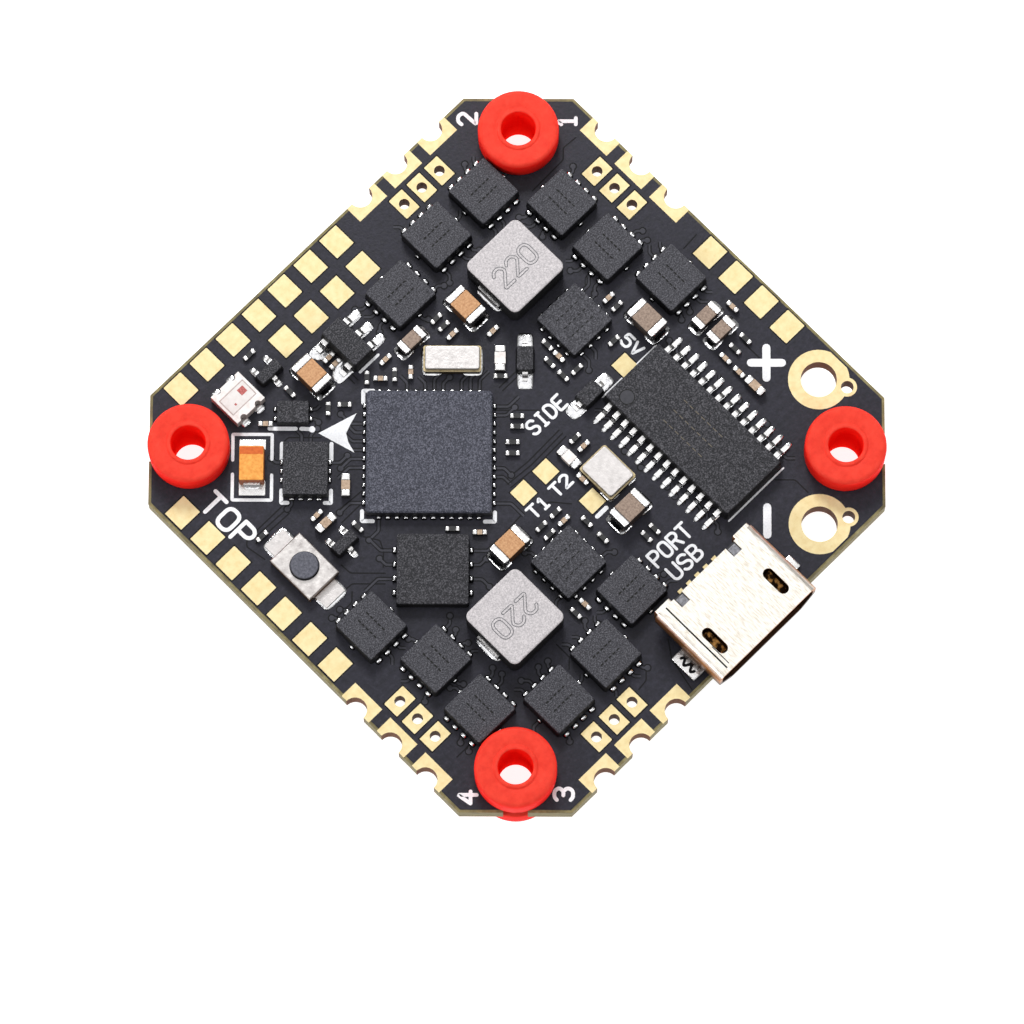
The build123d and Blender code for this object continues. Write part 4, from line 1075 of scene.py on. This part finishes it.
PIN_ONE_OFFSET = Vector((-1.3, 3.8))
PIN_ONE_R = 0.42
PIN_ONE_SIDES = 18
PIN_ONE_STROKE = 0.05
pin_one = Vector((overlay_chip.x, overlay_chip.y)) + PIN_ONE_OFFSET
ring = ring_round(pin_one, PIN_ONE_R, PIN_ONE_SIDES)
mark_low, mark_high = overlay_chip.high - SUNK, overlay_chip.high + MARK_HEIGHT
# The dark ring round the pin-one dimple is painted shade at its sunk edge.
stroke(engraving_and_dimple_shade, ring, PIN_ONE_STROKE, mark_low, mark_high, closed=True)
pin_one_dimple = Shape()
prism(pin_one_dimple, ring, mark_low, overlay_chip.high + MARK_HEIGHT / 2)
pin_one_dimple.piece("pin_one_dimple", dimple)
engraving_and_dimple_shade.piece("engraved_dashes_and_dimple_shade", laser_mark)
pale_engraving.piece("pale_dashes", pale_laser_mark)

# Value code on the inductors, the lower one upside down.
CODE = "220"
CODE_HEIGHT = 1.15
CODE_LENGTH = 2.6
CODE_STROKE = 0.2
CODE_OUTLINE = 0.045
# The fills lie above every top that the crossing strokes of the outline can have.
FILL_LIFT = STROKE_LEVELS * CROSSING_STEP
for coil in solids("inductor_body"):
    upside_down = coil.x < 0
    angle = 180 if upside_down else 0
    corner = Vector((coil.x, coil.y)) - rotation(angle) @ Vector((CODE_LENGTH / 2, CODE_HEIGHT / 2))
    inner = CODE_STROKE - 2 * CODE_OUTLINE
    for shape, width, lift in ((digits, CODE_STROKE, 0), (digit_fills, inner, FILL_LIFT)):
        top = coil.high + MARK_HEIGHT + lift
        lettering(shape, CODE, corner, angle, CODE_HEIGHT, CODE_LENGTH, width, coil.high - SUNK, top)
digits.piece("value_codes", grey_ink)
digit_fills.piece("value_code_fills", ferrite)

# Stripe across the tantalum capacitor, and the wide solder at its two ends.
TANTALUM_U = -14.57
STRIPE_V = -0.29
STRIPE_SIZE = (1.28, 0.42, 0.052)
STRIPE_DEPTH = 0.02
STRIPE_EASE = 0.01
tantalum = solids("tantalum_body")[0]
stripe = Shape()
stripe_at = (*from_uv(TANTALUM_U, STRIPE_V), tantalum.high - STRIPE_DEPTH)
rounded_box(stripe, stripe_at, STRIPE_SIZE, -DIAGONAL, STRIPE_EASE)
stripe.piece("tantalum_stripe", orange_stripe)
WIDE_LANDS = (
    # u, v, length
    (-14.56, 0.28, 0.56), (-14.56, -2.2, 0.8),
)
WIDE_LAND_WIDTH = 1.46
WIDE_LAND_DEPTH = 0.05
WIDE_LAND_AT = FACE + 0.02
WIDE_LAND_EASE = 0.015
wide_lands = Shape()
for u, v, length in WIDE_LANDS:
    size = (WIDE_LAND_WIDTH, length, WIDE_LAND_DEPTH)
    rounded_box(wide_lands, (*from_uv(u, v), WIDE_LAND_AT), size, -DIAGONAL, WIDE_LAND_EASE)
wide_lands.piece("tantalum_lands", tin)

# ---- lamp and socket details
DIES = (
    # across and along from the lamp's middle, side
    (0.45, 0.12, 0.42),
    (-0.35, -0.2, 0.13),
)
DIE_HEIGHT = 0.05
DIE_SUNK = 0.02
DIE_EASE = 0.01
lens_low, lens_high = (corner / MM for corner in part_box("rgb_led_lens"))
lamp = (lens_low + lens_high) / 2
dies = Shape()
for across, along, side in DIES:
    die_at = (lamp.x + across, lamp.y + along, lens_high.z - DIE_SUNK)
    rounded_box(dies, die_at, (side, side, DIE_HEIGHT), 0, DIE_EASE)
dies.piece("lamp_dies", die_red)
LENS_INSET = 0.06
LENS_STROKE = 0.05
LENS_SUNK = 0.01
LENS_PROUD = 0.004
window_edge = Shape()
edge_half = (lens_high - lens_low).xy / 2 - Vector((LENS_INSET, LENS_INSET))
edge = [(lamp.x + sx * edge_half.x, lamp.y + sy * edge_half.y) for sx, sy in FOUR_CORNERS]
stroke(window_edge, edge, LENS_STROKE, lens_high.z - LENS_SUNK, lens_high.z + LENS_PROUD, closed=True)
window_edge.piece("lamp_window_edge", lamp_shade)

shell_low, shell_high = (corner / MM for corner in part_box("usb_shell"))
socket_x = (shell_low.x + shell_high.x) / 2
# Two thin dark strips of painted shade along the shell's top mark its joins.
SEAMS = (
    # across from the socket's middle, inner end, outer end, width
    (-2.95, shell_high.y - 0.3, shell_low.y + 0.25, 0.09),
    (-2.7, shell_low.y + 1.6, shell_low.y + 0.35, 0.05),
)
SEAM_SUNK = 0.02
SEAM_PROUD = 0.003
seam_shade = Shape()
for across, inner_end, outer_end, width in SEAMS:
    ends = [(socket_x + across, inner_end), (socket_x + across, outer_end)]
    stroke(seam_shade, ends, width, shell_high.z - SEAM_SUNK, shell_high.z + SEAM_PROUD)
seam_shade.piece("shell_seam_shade", painted_shade_line)

WINDOW_ACROSS = 2.0
WINDOW_SIZE = (0.54, 0.66, 0.16)
WINDOW_INWARD = 0.66
WINDOW_SUNK = 0.1
WINDOW_EASE = 0.05
windows = Shape()
for side in (-1, 1):
    x = socket_x + side * WINDOW_ACROSS
    window_at = (x, shell_high.y - WINDOW_INWARD, shell_high.z - WINDOW_SUNK)
    rounded_box(windows, window_at, WINDOW_SIZE, 0, WINDOW_EASE)
windows.piece("shell_windows", grey_nylon)

# Latch springs: bowed strips behind the two long openings in the shell, in gilt painted near black as the
# shade inside the openings.
LATCH_ACROSS = 2.35
LATCH_FROM_MOUTH = 1.05
LATCH_STEPS = 14
LATCH_STEP = 0.1
LATCH_DEPTH = 0.62
LATCH_BOW = 0.24
LATCH_SECTION = ((-0.2, 0), (0.2, 0), (0.2, 0.08), (-0.2, 0.08))
corners = len(LATCH_SECTION)
latches = Shape()
for side in (-1, 1):
    x = socket_x + side * LATCH_ACROSS
    points, faces = [], []
    for i in range(LATCH_STEPS + 1):
        y = shell_low.y + LATCH_FROM_MOUTH + LATCH_STEP * i
        z = shell_high.z - LATCH_DEPTH + LATCH_BOW * math.sin(math.pi / 2 * i / LATCH_STEPS)
        points += [(x + dx, y, z + dz) for dx, dz in LATCH_SECTION]
    for i in range(LATCH_STEPS):
        here, there = corners * i, corners * (i + 1)
        for k in range(corners):
            after = (k + 1) % corners
            faces.append([here + k, here + after, there + after, there + k])
    faces += [list(range(corners)), [corners * LATCH_STEPS + k for k in range(corners)]]
    latches.add(points, faces)
latches.piece("latch_springs", gilt_in_painted_shade)

# Solder over the two legs of the shell, with a dark crease of painted shade in the one on the left.
LEG_REACH = 3.9
LEG_AT = shell_low.y + 2.15
LAND_WIDTH = 0.95
LAND_HEIGHT = 0.3
LAND_EASE = 0.08
LAND_LENGTHS = ((-1, 1.75), (1, 0.9))
lands = Shape()
for side, length in LAND_LENGTHS:
    middle = (socket_x + side * LEG_REACH, LEG_AT, FACE + LAND_HEIGHT / 2)
    rounded_box(lands, middle, (LAND_WIDTH, length, LAND_HEIGHT), 0, LAND_EASE)
lands.piece("socket_side_lands", tin, smooth=True)
CREASE_POINTS = 31
CREASE_STEP = 0.034
CREASE_TURN = 0.42
CREASE_SWING = 0.16
CREASE_STROKE = 0.16
CREASE_SUNK = 0.01
CREASE_PROUD = 0.005
crease = Shape()
crease_x, crease_y = socket_x - LEG_REACH - 0.08, LEG_AT + 0.5
wave = [(crease_x + CREASE_SWING * math.sin(CREASE_TURN * i), crease_y - CREASE_STEP * i)
        for i in range(CREASE_POINTS)]
land_top = FACE + LAND_HEIGHT
stroke(crease, wave, CREASE_STROKE, land_top - CREASE_SUNK, land_top + CREASE_PROUD)
crease.piece("socket_land_gap_shade", painted_shade_line)

# ---- floor, light and camera
FLOOR_HALF_METRES = 1.5
floor_mesh = bpy.data.meshes.new("floor")
ground = cad_box[0].z
floor_corners = [(sx * FLOOR_HALF_METRES, sy * FLOOR_HALF_METRES, ground) for sx, sy in FOUR_CORNERS]
floor_mesh.from_pydata(floor_corners, [], [[0, 1, 2, 3]])
floor = bpy.data.objects.new("floor", floor_mesh)
bpy.context.scene.collection.objects.link(floor)
pale_floor = made_of(
    "pale_floor", [(0.50, 0.50, 0.50), (0.54, 0.54, 0.54)], (0.8, 0.95), feature=8.0,
    sockets=[("Emission Color", (1, 1, 1, 1)), ("Emission Strength", 0.88)])
floor_mesh.materials.append(pale_floor)

TENT = (
    # height of the direction, from 0 at the horizon to 1 overhead, and grey level
    (0.0, 0.72), (0.22, 0.50), (0.42, 0.16), (0.82, 0.28), (0.93, 1.25),
)


def studio_world():
    """Light tent: bright overhead, darker part way down, pale at the horizon."""
    world = bpy.data.worlds.new("studio")
    world.use_nodes = True
    tree = world.node_tree
    coordinates = tree.nodes.new("ShaderNodeTexCoord")
    split = tree.nodes.new("ShaderNodeSeparateXYZ")
    tree.links.new(coordinates.outputs["Generated"], split.inputs["Vector"])
    sky = ramp(tree, split.outputs["Z"], [(height, (grey,) * 3) for height, grey in TENT])
    tree.links.new(sky, tree.nodes["Background"].inputs["Color"])
    tree.nodes["Background"].inputs["Strength"].default_value = 1.0
    return world


bpy.context.scene.world = studio_world()
bpy.context.scene.view_settings.view_transform = "Standard"


def area_light(name, position, size, power):
    """Soft square lamp that faces the origin. Position and size are metres, power is watts."""
    light = bpy.data.lights.new(name, "AREA")
    light.size = size
    light.energy = power
    holder = bpy.data.objects.new(name, light)
    holder.location = position
    holder.rotation_mode = "QUATERNION"
    holder.rotation_quaternion = (-Vector(position)).to_track_quat("-Z", "Y")
    bpy.context.scene.collection.objects.link(holder)


area_light("key", (0.10, 0.13, 0.17), 0.07, 0.42)
area_light("side", (-0.17, 0.03, 0.12), 0.06, 0.12)
area_light("front", (0.06, -0.16, 0.12), 0.06, 0.06)

# The camera stands almost straight above, leaning a little towards the lower corner.
CAMERA_TILT = math.radians(13.49)
CAMERA_YAW = math.radians(0.227)
CAMERA_ROLL = math.radians(0.207)
CAMERA_DISTANCE = 339.8 * MM
CAMERA_LENS = 217.5
AIM = Vector((-2.64, -2.27, FACE)) * MM


def direction_uv(u, v, z):
    x, y = from_uv(u, v)
    return Vector((x, y, z))


back = direction_uv(math.sin(CAMERA_YAW) * math.cos(CAMERA_TILT), -math.sin(CAMERA_TILT),
                    math.cos(CAMERA_YAW) * math.cos(CAMERA_TILT)).normalized()
right = direction_uv(1, 0, 0)
right = (right - back * right.dot(back)).normalized()
right = Matrix.Rotation(CAMERA_ROLL, 3, back) @ right
up = back.cross(right)
camera_data = bpy.data.cameras.new("camera")
camera_data.lens = CAMERA_LENS
camera_data.clip_start = 0.01
camera_data.clip_end = 10.0
camera = bpy.data.objects.new("camera", camera_data)
facing = Matrix((right, up, back)).transposed().to_4x4()
camera.matrix_world = Matrix.Translation(AIM + back * CAMERA_DISTANCE) @ facing
bpy.context.scene.collection.objects.link(camera)
bpy.context.scene.camera = camera
